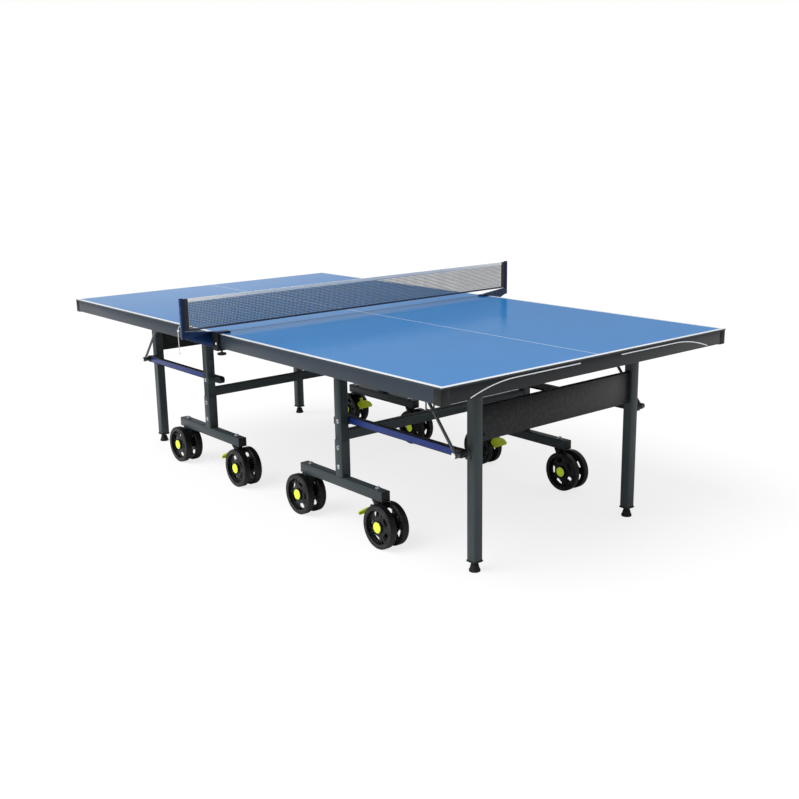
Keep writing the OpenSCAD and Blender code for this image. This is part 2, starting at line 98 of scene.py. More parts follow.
def dress(piece, body, material=None, smoothAngle=35):
    if material is not None:
        piece.data.materials.clear()
        piece.data.materials.append(material)
    piece.data.shade_smooth()
    piece.data.set_sharp_from_angle(angle=math.radians(smoothAngle))
    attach(piece, body)
    return piece


# ---- the net's loose tension cord ----
netCordLook = {
    "diameter": 3 * mm,
    "beadRadius": 4.6 * mm,
    "beadAt": 6,
    "knotRadius": 3.4 * mm,
    "knotWaist": 0.62,
    "coilRadius": 1.25 * mm,
    "coilStep": 2.1 * mm,
    "coilLean": 0.35,
}
# the cord hangs from the outer face of its post down to a knot
cordPoints = [
    (0, -915, 806), (0, -917.5, 806.4), (-0.5, -920, 806), (-1.5, -922.5, 803.5),
    (-2.5, -924, 799.5), (-3.2, -924.8, 794), (-3.8, -925.2, 788), (-4.3, -925.5, 781),
    (-4.7, -925.6, 774), (-5, -925.6, 767), (-5.2, -925.5, 760), (-5.3, -925.4, 753),
    (-5.3, -925.3, 746), (-5.2, -925.1, 739), (-5, -925, 732), (-4.7, -924.9, 725),
    (-4.4, -924.8, 718), (-4.1, -924.8, 711), (-3.8, -924.8, 704), (-3.6, -924.8, 697),
]


def makeCordCurve():
    data = bpy.data.curves.new("netCord", "CURVE")
    data.dimensions = "3D"
    data.bevel_depth = netCordLook["diameter"] / 2
    data.bevel_resolution = 3
    data.use_fill_caps = True
    spline = data.splines.new("NURBS")
    spline.points.add(len(cordPoints) - 1)
    for point, place in zip(spline.points, cordPoints):
        point.co = tuple(v * mm for v in place) + (1,)
    spline.order_u = 3
    spline.use_endpoint_u = True
    spline.resolution_u = 4
    return addObject("net_cord.twine", data)


netCord = makeCordCurve()


def evaluatedMesh(piece):
    bpy.context.view_layer.update()
    graph = bpy.context.evaluated_depsgraph_get()
    return bpy.data.meshes.new_from_object(piece.evaluated_get(graph))


def applied(piece):
    mesh = evaluatedMesh(piece)
    piece.modifiers.clear()
    piece.data = mesh
    return piece


def meshOf(work, name):
    mesh = bpy.data.meshes.new(name)
    work.to_mesh(mesh)
    work.free()
    return mesh


def joinedMesh(name, meshes):
    work = bmesh.new()
    for mesh in meshes:
        work.from_mesh(mesh)
    return meshOf(work, name)


def moved(mesh, matrix):
    made = mesh.copy()
    made.transform(matrix)
    return made


def halfTurn(half):
    # half b is half a turned round
    return Matrix.Rotation(math.pi if half == "b" else 0, 4, "Z")


def onHalf(mesh, half):
    return moved(mesh, halfTurn(half))


def drop(*helpers):
    for helper in helpers:
        bpy.data.objects.remove(helper)


def swell(value, power):
    # a sine or cosine pushed outwards, for outlines between round and square
    return math.copysign(abs(value) ** power, value)


def circleAngles(count):
    return [2 * math.pi * k / count for k in range(count)]


def loftMesh(name, rows):
    # closed rings joined one after another, with both ends filled
    work = bmesh.new()
    rings = [[work.verts.new(place) for place in row] for row in rows]
    for here, there in zip(rings, rings[1:]):
        for k in range(len(here)):
            after = (k + 1) % len(here)
            work.faces.new((here[k], here[after], there[after], there[k]))
    work.faces.new(rings[0])
    work.faces.new(rings[-1])
    bmesh.ops.recalc_face_normals(work, faces=work.faces)
    return meshOf(work, name)


def revolved(name, profile, steps=48, turn=None):
    # spins (radius, height) points round Z, then turns the result
    work = bmesh.new()
    rings = []
    for angle in circleAngles(steps):
        rings.append([work.verts.new((r * math.cos(angle), r * math.sin(angle), z)) for r, z in profile])
    count = len(profile)
    for step in range(steps):
        here, there = rings[step], rings[(step + 1) % steps]
        for k in range(count):
            work.faces.new((here[k], here[(k + 1) % count], there[(k + 1) % count], there[k]))
    bmesh.ops.remove_doubles(work, verts=work.verts, dist=1e-7)
    bmesh.ops.dissolve_degenerate(work, edges=work.edges, dist=1e-8)
    bmesh.ops.recalc_face_normals(work, faces=work.faces)
    if turn is not None:
        work.transform(turn)
    return meshOf(work, name)


def plate(name, outlines, thickness, rounding, turn=None):
    # a flat plate with round edges: the first outline is its edge, the others are its holes
    data = bpy.data.curves.new(name, "CURVE")
    data.dimensions = "2D"
    data.fill_mode = "BOTH"
    data.extrude = thickness / 2 - rounding
    data.bevel_depth = rounding
    data.bevel_resolution = 2
    data.offset = -rounding
    for outline in outlines:
        spline = data.splines.new("POLY")
        spline.points.add(len(outline) - 1)
        for point, (x, y) in zip(spline.points, outline):
            point.co = (x, y, 0, 1)
        spline.use_cyclic_u = True
    holder = addObject(name, data)
    mesh = evaluatedMesh(holder)
    drop(holder)
    work = bmesh.new()
    work.from_mesh(mesh)
    bmesh.ops.remove_doubles(work, verts=work.verts, dist=1e-6)
    bmesh.ops.recalc_face_normals(work, faces=work.faces)
    if turn is not None:
        work.transform(turn)
    return meshOf(work, name)


def roundedBlock(size, centre, rounding):
    work = bmesh.new()
    bmesh.ops.create_cube(work, size=1)
    bmesh.ops.scale(work, vec=size, verts=work.verts)
    bmesh.ops.translate(work, vec=centre, verts=work.verts)
    bmesh.ops.bevel(work, geom=list(work.edges), offset=rounding, segments=2, affect="EDGES")
    return meshOf(work, "block")


def beveled(piece, width, longWidth, segments=2, angle=30, longFrom=60 * mm):
    # long edges get the wider rounding, as drawn tube has
    work = bmesh.new()
    work.from_mesh(piece.data)
    weights = work.edges.layers.float.new("bevel_weight_edge")
    for edge in work.edges:
        if len(edge.link_faces) == 2 and edge.calc_face_angle(0) > math.radians(angle):
            edge[weights] = 1.0 if edge.calc_length() > longFrom else width / longWidth
    work.to_mesh(piece.data)
    work.free()
    bevel = piece.modifiers.new("bevel", "BEVEL")
    bevel.width = longWidth
    bevel.segments = segments
    bevel.limit_method = "WEIGHT"
    bevel.use_clamp_overlap = False
    bevel.harden_normals = True
    piece.data.shade_smooth()
    return applied(piece)


def cadCopy(node, name):
    # the node's loose triangles as one clean shell
    work = bmesh.new()
    work.from_mesh(frame["nodes"][node].data)
    bmesh.ops.remove_doubles(work, verts=work.verts, dist=1e-6)
    bmesh.ops.dissolve_limit(work, angle_limit=math.radians(1), verts=work.verts, edges=work.edges)
    mesh = meshOf(work, name)
    if "custom_normal" in mesh.attributes:
        mesh.attributes.remove(mesh.attributes["custom_normal"])
    mesh.materials.clear()
    return mesh


bodyOf = {n: b for b, members in frame["record"]["behaviour"]["bodies"].items() for n in members}


def softened(node, material, width, longWidth):
    piece = addObject(node + ".soft", cadCopy(node, node + ".soft"))
    beveled(piece, width, longWidth, 3)
    dress(piece, bodyOf[node], material, 30)
    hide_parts(node)
    return piece


# ---- geometry node trees for what repeats ----
def geometryTree(name, inputs):
    tree = bpy.data.node_groups.new(name, "GeometryNodeTree")
    tree.interface.new_socket("Geometry", in_out="INPUT", socket_type="NodeSocketGeometry")
    tree.interface.new_socket("Geometry", in_out="OUTPUT", socket_type="NodeSocketGeometry")
    for label, kind in inputs:
        tree.interface.new_socket(label, in_out="INPUT", socket_type="NodeSocket" + kind)
    new, link = tree.nodes.new, tree.links.new
    return tree, new, link, new("NodeGroupInput"), new("NodeGroupOutput")


def runTree(name, tree, values, places=((0, 0, 0),)):
    # runs a tree on a few points and keeps the plain mesh it makes
    host = bpy.data.meshes.new(name)
    host.from_pydata([tuple(p) for p in places], [], [])
    piece = addObject(name, host)
    modifier = piece.modifiers.new("build", "NODES")
    modifier.node_group = tree
    for item in tree.interface.items_tree:
        if item.in_out == "INPUT" and item.name in values:
            modifier[item.identifier] = values[item.name]
    return applied(piece)


def feed(link, socket, given):
    # a socket takes either a link or a plain value
    if isinstance(given, bpy.types.NodeSocket):
        link(given, socket)
    else:
        socket.default_value = given


def sumNode(new, link, operation, *given):
    made = new("ShaderNodeMath")
    made.operation = operation
    for k, value in enumerate(given):
        feed(link, made.inputs[k], value)
    return made.outputs[0]


def spanEnds(new, link, span, axis, node, labels):
    # the two ends of a line, half a span each way from the middle
    for share, label in zip((-0.5, 0.5), labels):
        vector = new("ShaderNodeCombineXYZ")
        link(sumNode(new, link, "MULTIPLY", span, share), vector.inputs[axis])
        link(vector.outputs[0], node.inputs[label])


def paintedOut(new, link, given, source, out):
    # real copies, all in one finish
    realize = new("GeometryNodeRealizeInstances")
    link(source, realize.inputs[0])
    paint = new("GeometryNodeSetMaterial")
    link(realize.outputs[0], paint.inputs["Geometry"])
    link(given.outputs["Material"], paint.inputs["Material"])
    link(paint.outputs[0], out.inputs[0])


def partCopies(new, link, given, points, rotation):
    part = new("GeometryNodeObjectInfo")
    link(given.outputs["Part"], part.inputs["Object"])
    copies = new("GeometryNodeInstanceOnPoints")
    link(points, copies.inputs["Points"])
    link(part.outputs["Geometry"], copies.inputs["Instance"])
    link(rotation, copies.inputs["Rotation"])
    return copies.outputs[0]


def makeNettingTree():
    # crossed threads at one pitch, with a knot at each crossing
    inputs = (("Width", "Float"), ("Height", "Float"), ("Pitch", "Float"), ("Thread", "Float"),
              ("Knot", "Float"), ("Material", "Material"))
    tree, new, link, given, out = geometryTree("netting", inputs)
    profile = new("GeometryNodeCurvePrimitiveCircle")
    profile.inputs["Resolution"].default_value = 5
    link(given.outputs["Thread"], profile.inputs["Radius"])
    joint = new("GeometryNodeJoinGeometry")
    counts = {}
    for across, along, axis, otherAxis in (("Width", "Height", "Y", "Z"), ("Height", "Width", "Z", "Y")):
        share = sumNode(new, link, "DIVIDE", given.outputs[across], given.outputs["Pitch"])
        counts[across] = sumNode(new, link, "ADD", sumNode(new, link, "ROUND", share), 1)
        line = new("GeometryNodeMeshLine")
        line.mode = "END_POINTS"
        link(counts[across], line.inputs["Count"])
        spanEnds(new, link, given.outputs[across], axis, line, ("Start Location", "Offset"))
        threadLine = new("GeometryNodeCurvePrimitiveLine")
        spanEnds(new, link, given.outputs[along], otherAxis, threadLine, ("Start", "End"))
        threads = new("GeometryNodeCurveToMesh")
        threads.inputs["Fill Caps"].default_value = True
        link(threadLine.outputs[0], threads.inputs["Curve"])
        link(profile.outputs[0], threads.inputs["Profile Curve"])
        placed = new("GeometryNodeInstanceOnPoints")
        link(line.outputs[0], placed.inputs["Points"])
        link(threads.outputs[0], placed.inputs["Instance"])
        link(placed.outputs[0], joint.inputs[0])
    grid = new("GeometryNodeMeshGrid")
    link(given.outputs["Width"], grid.inputs["Size X"])
    link(given.outputs["Height"], grid.inputs["Size Y"])
    link(counts["Width"], grid.inputs["Vertices X"])
    link(counts["Height"], grid.inputs["Vertices Y"])
    upright = new("GeometryNodeTransform")
    upright.inputs["Rotation"].default_value = (math.pi / 2, 0, math.pi / 2)
    link(grid.outputs[0], upright.inputs["Geometry"])
    knot = new("GeometryNodeMeshIcoSphere")
    knot.inputs["Subdivisions"].default_value = 1
    link(given.outputs["Knot"], knot.inputs["Radius"])
    knots = new("GeometryNodeInstanceOnPoints")
    link(upright.outputs[0], knots.inputs["Points"])
    link(knot.outputs[0], knots.inputs["Instance"])
    link(knots.outputs[0], joint.inputs[0])
    paintedOut(new, link, given, joint.outputs[0], out)
    return tree


def makeRowTree():
    # copies of one small part along a straight row that starts at each host point
    inputs = (("Part", "Object"), ("Count", "Int"), ("Step", "Vector"), ("Turn", "Vector"),
              ("Material", "Material"))
    tree, new, link, given, out = geometryTree("row", inputs)
    line = new("GeometryNodeMeshLine")
    link(given.outputs["Count"], line.inputs["Count"])
    link(given.outputs["Step"], line.inputs["Offset"])
    rows = new("GeometryNodeInstanceOnPoints")
    link(given.outputs["Geometry"], rows.inputs["Points"])
    link(line.outputs[0], rows.inputs["Instance"])
    points = new("GeometryNodeRealizeInstances")
    link(rows.outputs[0], points.inputs[0])
    facing = new("FunctionNodeEulerToRotation")
    link(given.outputs["Turn"], facing.inputs["Euler"])
    copies = partCopies(new, link, given, points.outputs[0], facing.outputs[0])
    paintedOut(new, link, given, copies, out)
    return tree


def makeRingTree():
    # copies of one small part round the Z axis, each turned to face outwards
    inputs = (("Part", "Object"), ("Count", "Int"), ("Radius", "Float"), ("Material", "Material"))
    tree, new, link, given, out = geometryTree("ring", inputs)
    circle = new("GeometryNodeMeshCircle")
    link(given.outputs["Count"], circle.inputs["Vertices"])
    link(given.outputs["Radius"], circle.inputs["Radius"])
    place = new("GeometryNodeInputPosition")
    turn = new("FunctionNodeAlignRotationToVector")
    turn.axis = "X"
    link(place.outputs[0], turn.inputs["Vector"])
    copies = partCopies(new, link, given, circle.outputs[0], turn.outputs[0])
    paintedOut(new, link, given, copies, out)
    return tree


nettingTree = makeNettingTree()
rowTree = makeRowTree()
ringTree = makeRingTree()
print("geometry node trees ready")


# ---- shader groups shared by the finishes ----
def shaderGroup(name, inputs, outputs):
    group = bpy.data.node_groups.new(name, "ShaderNodeTree")
    for label, kind, value in inputs:
        socket = group.interface.new_socket(label, in_out="INPUT", socket_type="NodeSocket" + kind)
        socket.default_value = value
    for label, kind in outputs:
        group.interface.new_socket(label, in_out="OUTPUT", socket_type="NodeSocket" + kind)
    new, link = group.nodes.new, group.links.new
    return group, new, link, new("NodeGroupInput"), new("NodeGroupOutput")


def rangeNode(new, link, given, start, end, low=0.0, high=1.0):
    made = new("ShaderNodeMapRange")
    for label, value in (("From Min", start), ("From Max", end), ("To Min", low), ("To Max", high)):
        made.inputs[label].default_value = value
    link(given, made.inputs["Value"])
    return made.outputs["Result"]


def mixNode(new, link, share, first, second):
    made = new("ShaderNodeMix")
    made.data_type = "RGBA"
    for label, value in (("Factor", share), ("A", first), ("B", second)):
        feed(link, made.inputs[label], value)
    return made.outputs["Result"]


def noiseNode(new, link, scale, detail=3.0):
    place = new("ShaderNodeTexCoord")
    noise = new("ShaderNodeTexNoise")
    noise.inputs["Detail"].default_value = detail
    link(place.outputs["Object"], noise.inputs["Vector"])
    feed(link, noise.inputs["Scale"], scale)
    return noise.outputs["Fac"]


def makeGrainGroup():
    # a fine surface grain and slow changes of gloss
    inputs = (("Scale", "Float", 900.0), ("Depth", "Float", 0.00005), ("Roughness", "Float", 0.4),
              ("Spread", "Float", 0.1))
    outputs = (("Roughness", "Float"), ("Normal", "Vector"))
    group, new, link, given, out = shaderGroup("grain", inputs, outputs)
    bump = new("ShaderNodeBump")
    bump.inputs["Strength"].default_value = 1.0
    link(given.outputs["Depth"], bump.inputs["Distance"])
    link(noiseNode(new, link, given.outputs["Scale"], 2.0), bump.inputs["Height"])
    centred = sumNode(new, link, "SUBTRACT", noiseNode(new, link, 5.0), 0.5)
    gloss = sumNode(new, link, "MULTIPLY_ADD", centred, given.outputs["Spread"], given.outputs["Roughness"])
    link(gloss, out.inputs["Roughness"])
    link(bump.outputs["Normal"], out.inputs["Normal"])
    return group


# scales of the two noises, and the spans that they and the edges fade in over
toneLook = {
    "slowScale": 7.0,
    "slowSpan": (0.3, 0.7),
    "edgeSpan": (0.53, 0.62),
    "chipScale": 60.0,
    "chipSpan": (0.45, 0.6),
    "detail": 4.0,
}


def makeToneGroup():
    # slow, slight changes of shade and worn lighter edges
    look = toneLook
    inputs = (("Color", "Color", (0.5, 0.5, 0.5, 1)), ("Shift", "Float", 0.08), ("Wear", "Float", 0.3),
              ("Wear Color", "Color", (0.5, 0.5, 0.5, 1)))
    group, new, link, given, out = shaderGroup("toneAndWear", inputs, (("Color", "Color"),))
    spread = rangeNode(new, link, noiseNode(new, link, look["slowScale"], look["detail"]), *look["slowSpan"])
    shade = sumNode(new, link, "MULTIPLY", spread, given.outputs["Shift"])
    darker = mixNode(new, link, shade, given.outputs["Color"], (0, 0, 0, 1))
    geometry = new("ShaderNodeNewGeometry")
    edge = rangeNode(new, link, geometry.outputs["Pointiness"], *look["edgeSpan"])
    chips = rangeNode(new, link, noiseNode(new, link, look["chipScale"], look["detail"]), *look["chipSpan"])
    worn = sumNode(new, link, "MULTIPLY", edge, chips)
    amount = sumNode(new, link, "MULTIPLY", worn, given.outputs["Wear"])
    link(mixNode(new, link, amount, darker, given.outputs["Wear Color"]), out.inputs["Color"])
    return group


def makeWeaveGroup():
    # over and under threads, from two crossed sets of waves; their height is also the mask for painted shade in
    # the low places
    inputs = (("Threads", "Float", 600.0), ("Depth", "Float", 0.0002))
    group, new, link, given, out = shaderGroup("weave", inputs, (("Normal", "Vector"), ("Mask", "Float")))
    place = new("ShaderNodeTexCoord")
    waves = []
    for direction in ("Y", "Z"):
        wave = new("ShaderNodeTexWave")
        wave.bands_direction = direction
        link(place.outputs["Object"], wave.inputs["Vector"])
        link(given.outputs["Threads"], wave.inputs["Scale"])
        waves.append(wave.outputs["Fac"])
    top = sumNode(new, link, "MAXIMUM", *waves)
    bump = new("ShaderNodeBump")
    link(given.outputs["Depth"], bump.inputs["Distance"])
    link(top, bump.inputs["Height"])
    link(bump.outputs["Normal"], out.inputs["Normal"])
    link(top, out.inputs["Mask"])
    return group


grainGroup = makeGrainGroup()
toneGroup = makeToneGroup()
weaveGroup = makeWeaveGroup()


def groupNode(new, link, group, values):
    made = new("ShaderNodeGroup")
    made.node_tree = group
    for label, value in values.items():
        feed(link, made.inputs[label], value)
    return made


def newFinish(name, constants):
    material = bpy.data.materials.new(name)
    material.use_nodes = True
    tree = material.node_tree
    shader = tree.nodes["Principled BSDF"]
    for label, value in constants.items():
        shader.inputs[label].default_value = value
    return material, tree.nodes.new, tree.links.new, shader


def grained(new, link, shader, base, look):
    # the base colour with a grain and slow changes of gloss
    grain = groupNode(new, link, grainGroup, {"Scale": look["grain"], "Depth": look["depth"],
                                              "Roughness": look["rough"], "Spread": look["spread"]})
    link(base, shader.inputs["Base Color"])
    for label in ("Roughness", "Normal"):
        link(grain.outputs[label], shader.inputs[label])


def paintFinish(name, given):
    look = {**plainPaint, **given}
    constants = {"Metallic": look["metallic"], "IOR": look["ior"]}
    if look["coat"]:
        constants["Coat Weight"] = look["coat"]
        constants["Coat Roughness"] = look["coatRough"]
    if look["paintedGlow"]:
        # painted light: an emission glow that keeps these lime parts bright where they lie in shade
        constants["Emission Color"] = colour(look["colour"])
        constants["Emission Strength"] = look["paintedGlow"]
    material, new, link, shader = newFinish(name, constants)
    tone = groupNode(new, link, toneGroup, {"Color": colour(look["colour"]), "Shift": look["shift"],
                                            "Wear": look["wear"], "Wear Color": colour(look["wearColour"])})
    grained(new, link, shader, tone.outputs["Color"], look)
    return material


def clothFinish(name, look):
    constants = {"Sheen Weight": look["sheen"], "Roughness": look["rough"]}
    material, new, link, shader = newFinish(name, constants)
    weave = groupNode(new, link, weaveGroup, {"Threads": look["threads"], "Depth": look["depth"]})
    # painted shade: the low places of the weave take the darker gap shade colour
    cloth = mixNode(new, link, weave.outputs["Mask"], colour(look["gapShadeColour"]), colour(look["colour"]))
    tone = groupNode(new, link, toneGroup, {"Shift": clothShift, "Wear": 0.0, "Color": cloth})
    link(tone.outputs["Color"], shader.inputs["Base Color"])
    link(weave.outputs["Normal"], shader.inputs["Normal"])
    return material


# what a paint is like where its own entry says nothing else
plainPaint = {"metallic": 0.0, "ior": 1.3, "coat": 0.0, "coatRough": 0.15, "paintedGlow": 0.0, "shift": 0.1,
              "wear": 0.3, "wearColour": "9a9fa3", "spread": 0.12}
finishes = {
    "side_rail": {"colour": "28313b", "rough": 0.42, "grain": 700, "depth": 0.00004, "wear": 0.35},
    "dark_rail": {"colour": "17191c", "rough": 0.38, "grain": 700, "depth": 0.00003, "wear": 0.3},
    "under_frame": {"colour": "202427", "rough": 0.5, "grain": 600, "depth": 0.00005},
    "black_fitting": {"colour": "101113", "rough": 0.48, "grain": 1500, "depth": 0.00006, "wear": 0.25,
                      "wearColour": "4a4c4f"},
    "frame_tube": {"colour": "323a3d", "rough": 0.4, "grain": 650, "depth": 0.00005, "wear": 0.4},
    "bolt": {"colour": "b9bcc0", "rough": 0.25, "metallic": 1.0, "grain": 1200, "depth": 0.00002,
             "shift": 0.25, "wear": 0.0},
    "leg_panel": {"colour": "0d0e11", "rough": 0.36, "grain": 600, "depth": 0.00004, "wear": 0.3},
    "foot": {"colour": "17181a", "rough": 0.62, "grain": 1400, "depth": 0.00008, "wear": 0.3,
             "wearColour": "55575a"},
    "link_bar": {"colour": "1b3173", "rough": 0.36, "grain": 650, "depth": 0.00004, "wear": 0.35,
                 "wearColour": "8b93b5"},
    "stay_rod": {"colour": "55585c", "rough": 0.32, "metallic": 0.6, "grain": 900, "depth": 0.00003},
    "caster_fork": {"colour": "111214", "rough": 0.42, "grain": 1300, "depth": 0.00005, "wear": 0.3,
                    "wearColour": "4c4e52"},
    "wheel": {"colour": "121214", "rough": 0.27, "coat": 0.1, "grain": 900, "depth": 0.00003,
              "wear": 0.25, "wearColour": "505256"},
    "tyre": {"colour": "111113", "rough": 0.4, "grain": 700, "depth": 0.0001, "shift": 0.2,
             "wear": 0.4, "wearColour": "5a5b5c"},
    # the glow of hub_cap and brake_lever is painted light: an emission that lifts the lime parts out of their
    # shade
    "hub_cap": {"colour": "d3ea3c", "rough": 0.25, "paintedGlow": 0.16, "grain": 1100, "depth": 0.00002,
                "shift": 0.05, "wear": 0.3, "wearColour": "eef59a"},
    "brake_lever": {"colour": "a9b600", "rough": 0.34, "paintedGlow": 0.14, "grain": 1300, "depth": 0.00005,
                    "shift": 0.12, "wear": 0.5, "wearColour": "d6dc6a"},
    "net_post": {"colour": "0e2850", "rough": 0.34, "grain": 700, "depth": 0.00004, "wear": 0.35,
                 "wearColour": "7f93b8"},
    "clamp_screw": {"colour": "17181a", "rough": 0.4, "grain": 1400, "depth": 0.00006},
    "printed_line": {"colour": "dfe3e6", "rough": 0.45, "grain": 900, "depth": 0.00002, "wear": 0.0},
    "white_bolt": {"colour": "e4e6e7", "rough": 0.3, "grain": 900, "depth": 0.00002, "wear": 0.0},
    "rod_steel": {"colour": "c4c7ca", "rough": 0.2, "metallic": 1.0, "grain": 900, "depth": 0.00002,
                  "wear": 0.0, "shift": 0.15},
}
clothShift = 0.06
cloths = {
    "net_mesh": {"colour": "64686c", "gapShadeColour": "3a3e42", "threads": 900.0, "depth": 0.0002,
                 "sheen": 0.1, "rough": 0.8},
    "net_tape": {"colour": "f8f8f7", "gapShadeColour": "e4e6e7", "threads": 520.0, "depth": 0.00025,
                 "sheen": 0.15, "rough": 0.75},
    "net_hem": {"colour": "26335a", "gapShadeColour": "161e36", "threads": 520.0, "depth": 0.00025,
                "sheen": 0.2, "rough": 0.8},
    "net_sleeve": {"colour": "1a1b1e", "gapShadeColour": "0b0c0d", "threads": 420.0, "depth": 0.0003,
                   "sheen": 0.25, "rough": 0.85},
    "net_cord": {"colour": "eceded", "gapShadeColour": "b3b6b8", "threads": 900.0, "depth": 0.0004,
                 "sheen": 0.1, "rough": 0.7},
}
finish = {name: paintFinish(name, look) for name, look in finishes.items()}
finish.update({name: clothFinish(name, look) for name, look in cloths.items()})

playLook = {
    "blue": "2a79ba",
    "line": "dfe4e8",
    "core": "2a3138",
    "edgeLine": 16 * mm,
    "centreLine": 3 * mm,
    "inkEdge": 0.25 * mm,
    "rough": 0.15,
    "grain": 420.0,
    "depth": 0.00002,
    "spread": 0.08,
    "shift": 0.035,
    "ior": 1.32,
    "printDepth": 0.4 * mm,
}


def playFinish():
    # a printed board: blue ground, white edge lines, a thin centre line and a dark core at its sides
    look = playLook
    material, new, link, shader = newFinish("play_board", {"IOR": look["ior"]})
    high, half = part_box("top_panel_a")[1], look["inkEdge"] / 2
    place = new("ShaderNodeTexCoord")
    split = new("ShaderNodeSeparateXYZ")
    link(place.outputs["Object"], split.inputs[0])

    def beyond(socket, start):
        return rangeNode(new, link, socket, start - half, start + half)

    along = sumNode(new, link, "ABSOLUTE", split.outputs["X"])
    across = sumNode(new, link, "ABSOLUTE", split.outputs["Y"])
    edges = sumNode(new, link, "MAXIMUM", beyond(across, high.y - look["edgeLine"]),
                    beyond(along, high.x - look["edgeLine"]))
    line = look["centreLine"] / 2
    centre = rangeNode(new, link, across, line - half, line + half, 1, 0)
    lines = sumNode(new, link, "MAXIMUM", edges, centre)
    blue = groupNode(new, link, toneGroup, {"Color": colour(look["blue"]), "Shift": look["shift"],
                                            "Wear": 0.0})
    printed = mixNode(new, link, lines, blue.outputs["Color"], colour(look["line"]))
    top = beyond(split.outputs["Z"], high.z - look["printDepth"])
    grained(new, link, shader, mixNode(new, link, top, colour(look["core"]), printed), look)
    return material


finish["play_board"] = playFinish()
for half in halves:
    board = frame["nodes"]["top_panel_" + half]
    board.data.materials.clear()
    board.data.materials.append(finish["play_board"])
print("finishes ready")


# ---- the folded sheet, tubes and castings, with their edges rounded ----
# node family: finish, edge rounding, rounding of long edges (both mm)
softEdges = {
    "side_rails": ("side_rail", 0.5, 1.6),
    "end_rails": ("dark_rail", 0.5, 1.6),
    "cross_rails": ("under_frame", 0.8, 2.0),
    "guide_channels": ("under_frame", 0.8, 1.2),
    "corner_fittings": ("black_fitting", 2.0, 2.0),
    "carriage_frame": ("frame_tube", 0.8, 3.0),
    "wheel_beams": ("frame_tube", 0.7, 3.0),
    "beam_caps": ("black_fitting", 1.2, 1.2),
    "end_legs": ("frame_tube", 0.7, 3.0),
    "leg_panel": ("leg_panel", 1.0, 3.0),
    "link_bars": ("dark_rail", 1.2, 2.5),
    "stay_rods": ("stay_rod", 0.8, 0.8),
}
bracketEdges = ("net_post", 1.0, 1.8)
forkEdges = ("caster_fork", 1.2, 2.0)
gripFrom, gripBelow = 8 * mm, 1 * mm


def blackenClamp(bracket):
    # the plate and jaws that grip the rail are black, the arm and post are not
    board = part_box("top_panel_a")[1]
    bracket.data.materials.append(finish["black_fitting"])
    for face in bracket.data.polygons:
        x, y, z = face.center
        grips = x > gripFrom and z < board.z - gripBelow
        if grips or abs(y) < board.y and z < board.z:
            face.material_index = 1


def roundEdges():
    def soften(node, edges):
        look, short, long = edges
        return softened(node, finish[look], short * mm, long * mm)

    for family, edges in softEdges.items():
        for half in halves:
            soften(family + "_" + half, edges)
    for side in ("near", "far"):
        blackenClamp(soften("net_bracket_" + side, bracketEdges))
    for half in halves:
        for n in range(1, 5):
            soften("caster_fork_" + half + str(n), forkEdges)


roundEdges()
print("edges rounded")

# places on half a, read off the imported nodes
beamLow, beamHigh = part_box("wheel_beams_a")
linkLow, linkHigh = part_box("link_bars_a")
legLow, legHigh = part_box("end_legs_a")
railLow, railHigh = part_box("side_rails_a")
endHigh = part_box("end_rails_a")[1]
panelLow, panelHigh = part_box("leg_panel_a")
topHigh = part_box("top_panel_a")[1]
tube = beamHigh.z - beamLow.z
postX = (beamLow.x + beamHigh.x) / 2
postY = beamHigh.y - tube / 2
legX = (panelLow.x + panelHigh.x) / 2
legY = panelHigh.y + tube / 2
linkR = (linkHigh.z - linkLow.z) / 2
linkZ = (linkHigh.z + linkLow.z) / 2
pivotX, legPinX = linkLow.x + linkR, linkHigh.x - linkR
linkT = 20 * mm
pivotZ = next(j for j in frame["joints"] if j["name"] == "fold_a")["pos_m"][2]


# ---- wheels ----
casterLook = {
    "trail": 45 * mm,
    "wheelGap": 30 * mm,
    "wheelWidth": 30 * mm,
    "radius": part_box("caster_wheels_a1")[1].z / 2,
}
wheelLook = {
    "shoulder": 5 * mm,
    "rimRadius": 68 * mm,
    "webThickness": 6 * mm,
    "coneRise": 8 * mm,
    "windows": 5,
    "windowHalfAngle": 18,
    "windowLow": 40 * mm,
    "windowHigh": 60 * mm,
    "webEdge": 1.2 * mm,
    "ribPlace": 45 * mm,
    "ribSize": (38 * mm, 3.2 * mm),
    "bore": 6.1 * mm,
    "capEdge": 21.2 * mm,
    "ribHeight": 4 * mm,
}


def arc(centre, radius, start, end, steps):
    angles = [math.radians(start + (end - start) * k / steps) for k in range(steps + 1)]
    return [(centre[0] + radius * math.cos(a), centre[1] + radius * math.sin(a)) for a in angles]


def windowOutline(middle):
    low, high = wheelLook["windowLow"], wheelLook["windowHigh"]
    spread = math.radians(wheelLook["windowHalfAngle"])
    points = []
    for angle in circleAngles(36):
        radius = (low + high) / 2 + (high - low) / 2 * swell(math.cos(angle), 0.5)
        turn = middle + spread * swell(math.sin(angle), 0.5)
        points.append((radius * math.cos(turn), radius * math.sin(turn)))
    return points


def roundOutline(radius, steps=72):
    return [(radius * math.cos(angle), radius * math.sin(angle)) for angle in circleAngles(steps)]


def tyreMesh(radius, width):
    rim, s = wheelLook["rimRadius"] + 3 * mm, wheelLook["shoulder"]
    profile = [(rim, 0.6 * mm)]
    profile += arc((radius - s, s), s, -90, 0, 6)
    profile += [(radius, width / 2)]
    profile += arc((radius - s, width - s), s, 0, 90, 6)
    profile += [(rim, width - 0.6 * mm)]
    return revolved("tyre", profile, 96)


def rimMesh(width):
    rim = wheelLook["rimRadius"]
    profile = [(rim - 2.5 * mm, 2 * mm), (rim - 1.5 * mm, 0.6 * mm), (rim + 3.2 * mm, 0.0),
               (rim + 3.2 * mm, width), (rim + 2.4 * mm, width + 0.6 * mm),
               (rim - 0.8 * mm, width + 0.6 * mm), (rim - 1.8 * mm, width - 0.4 * mm),
               (rim - 2.5 * mm, width - 3 * mm)]
    return revolved("rim", profile, 96)


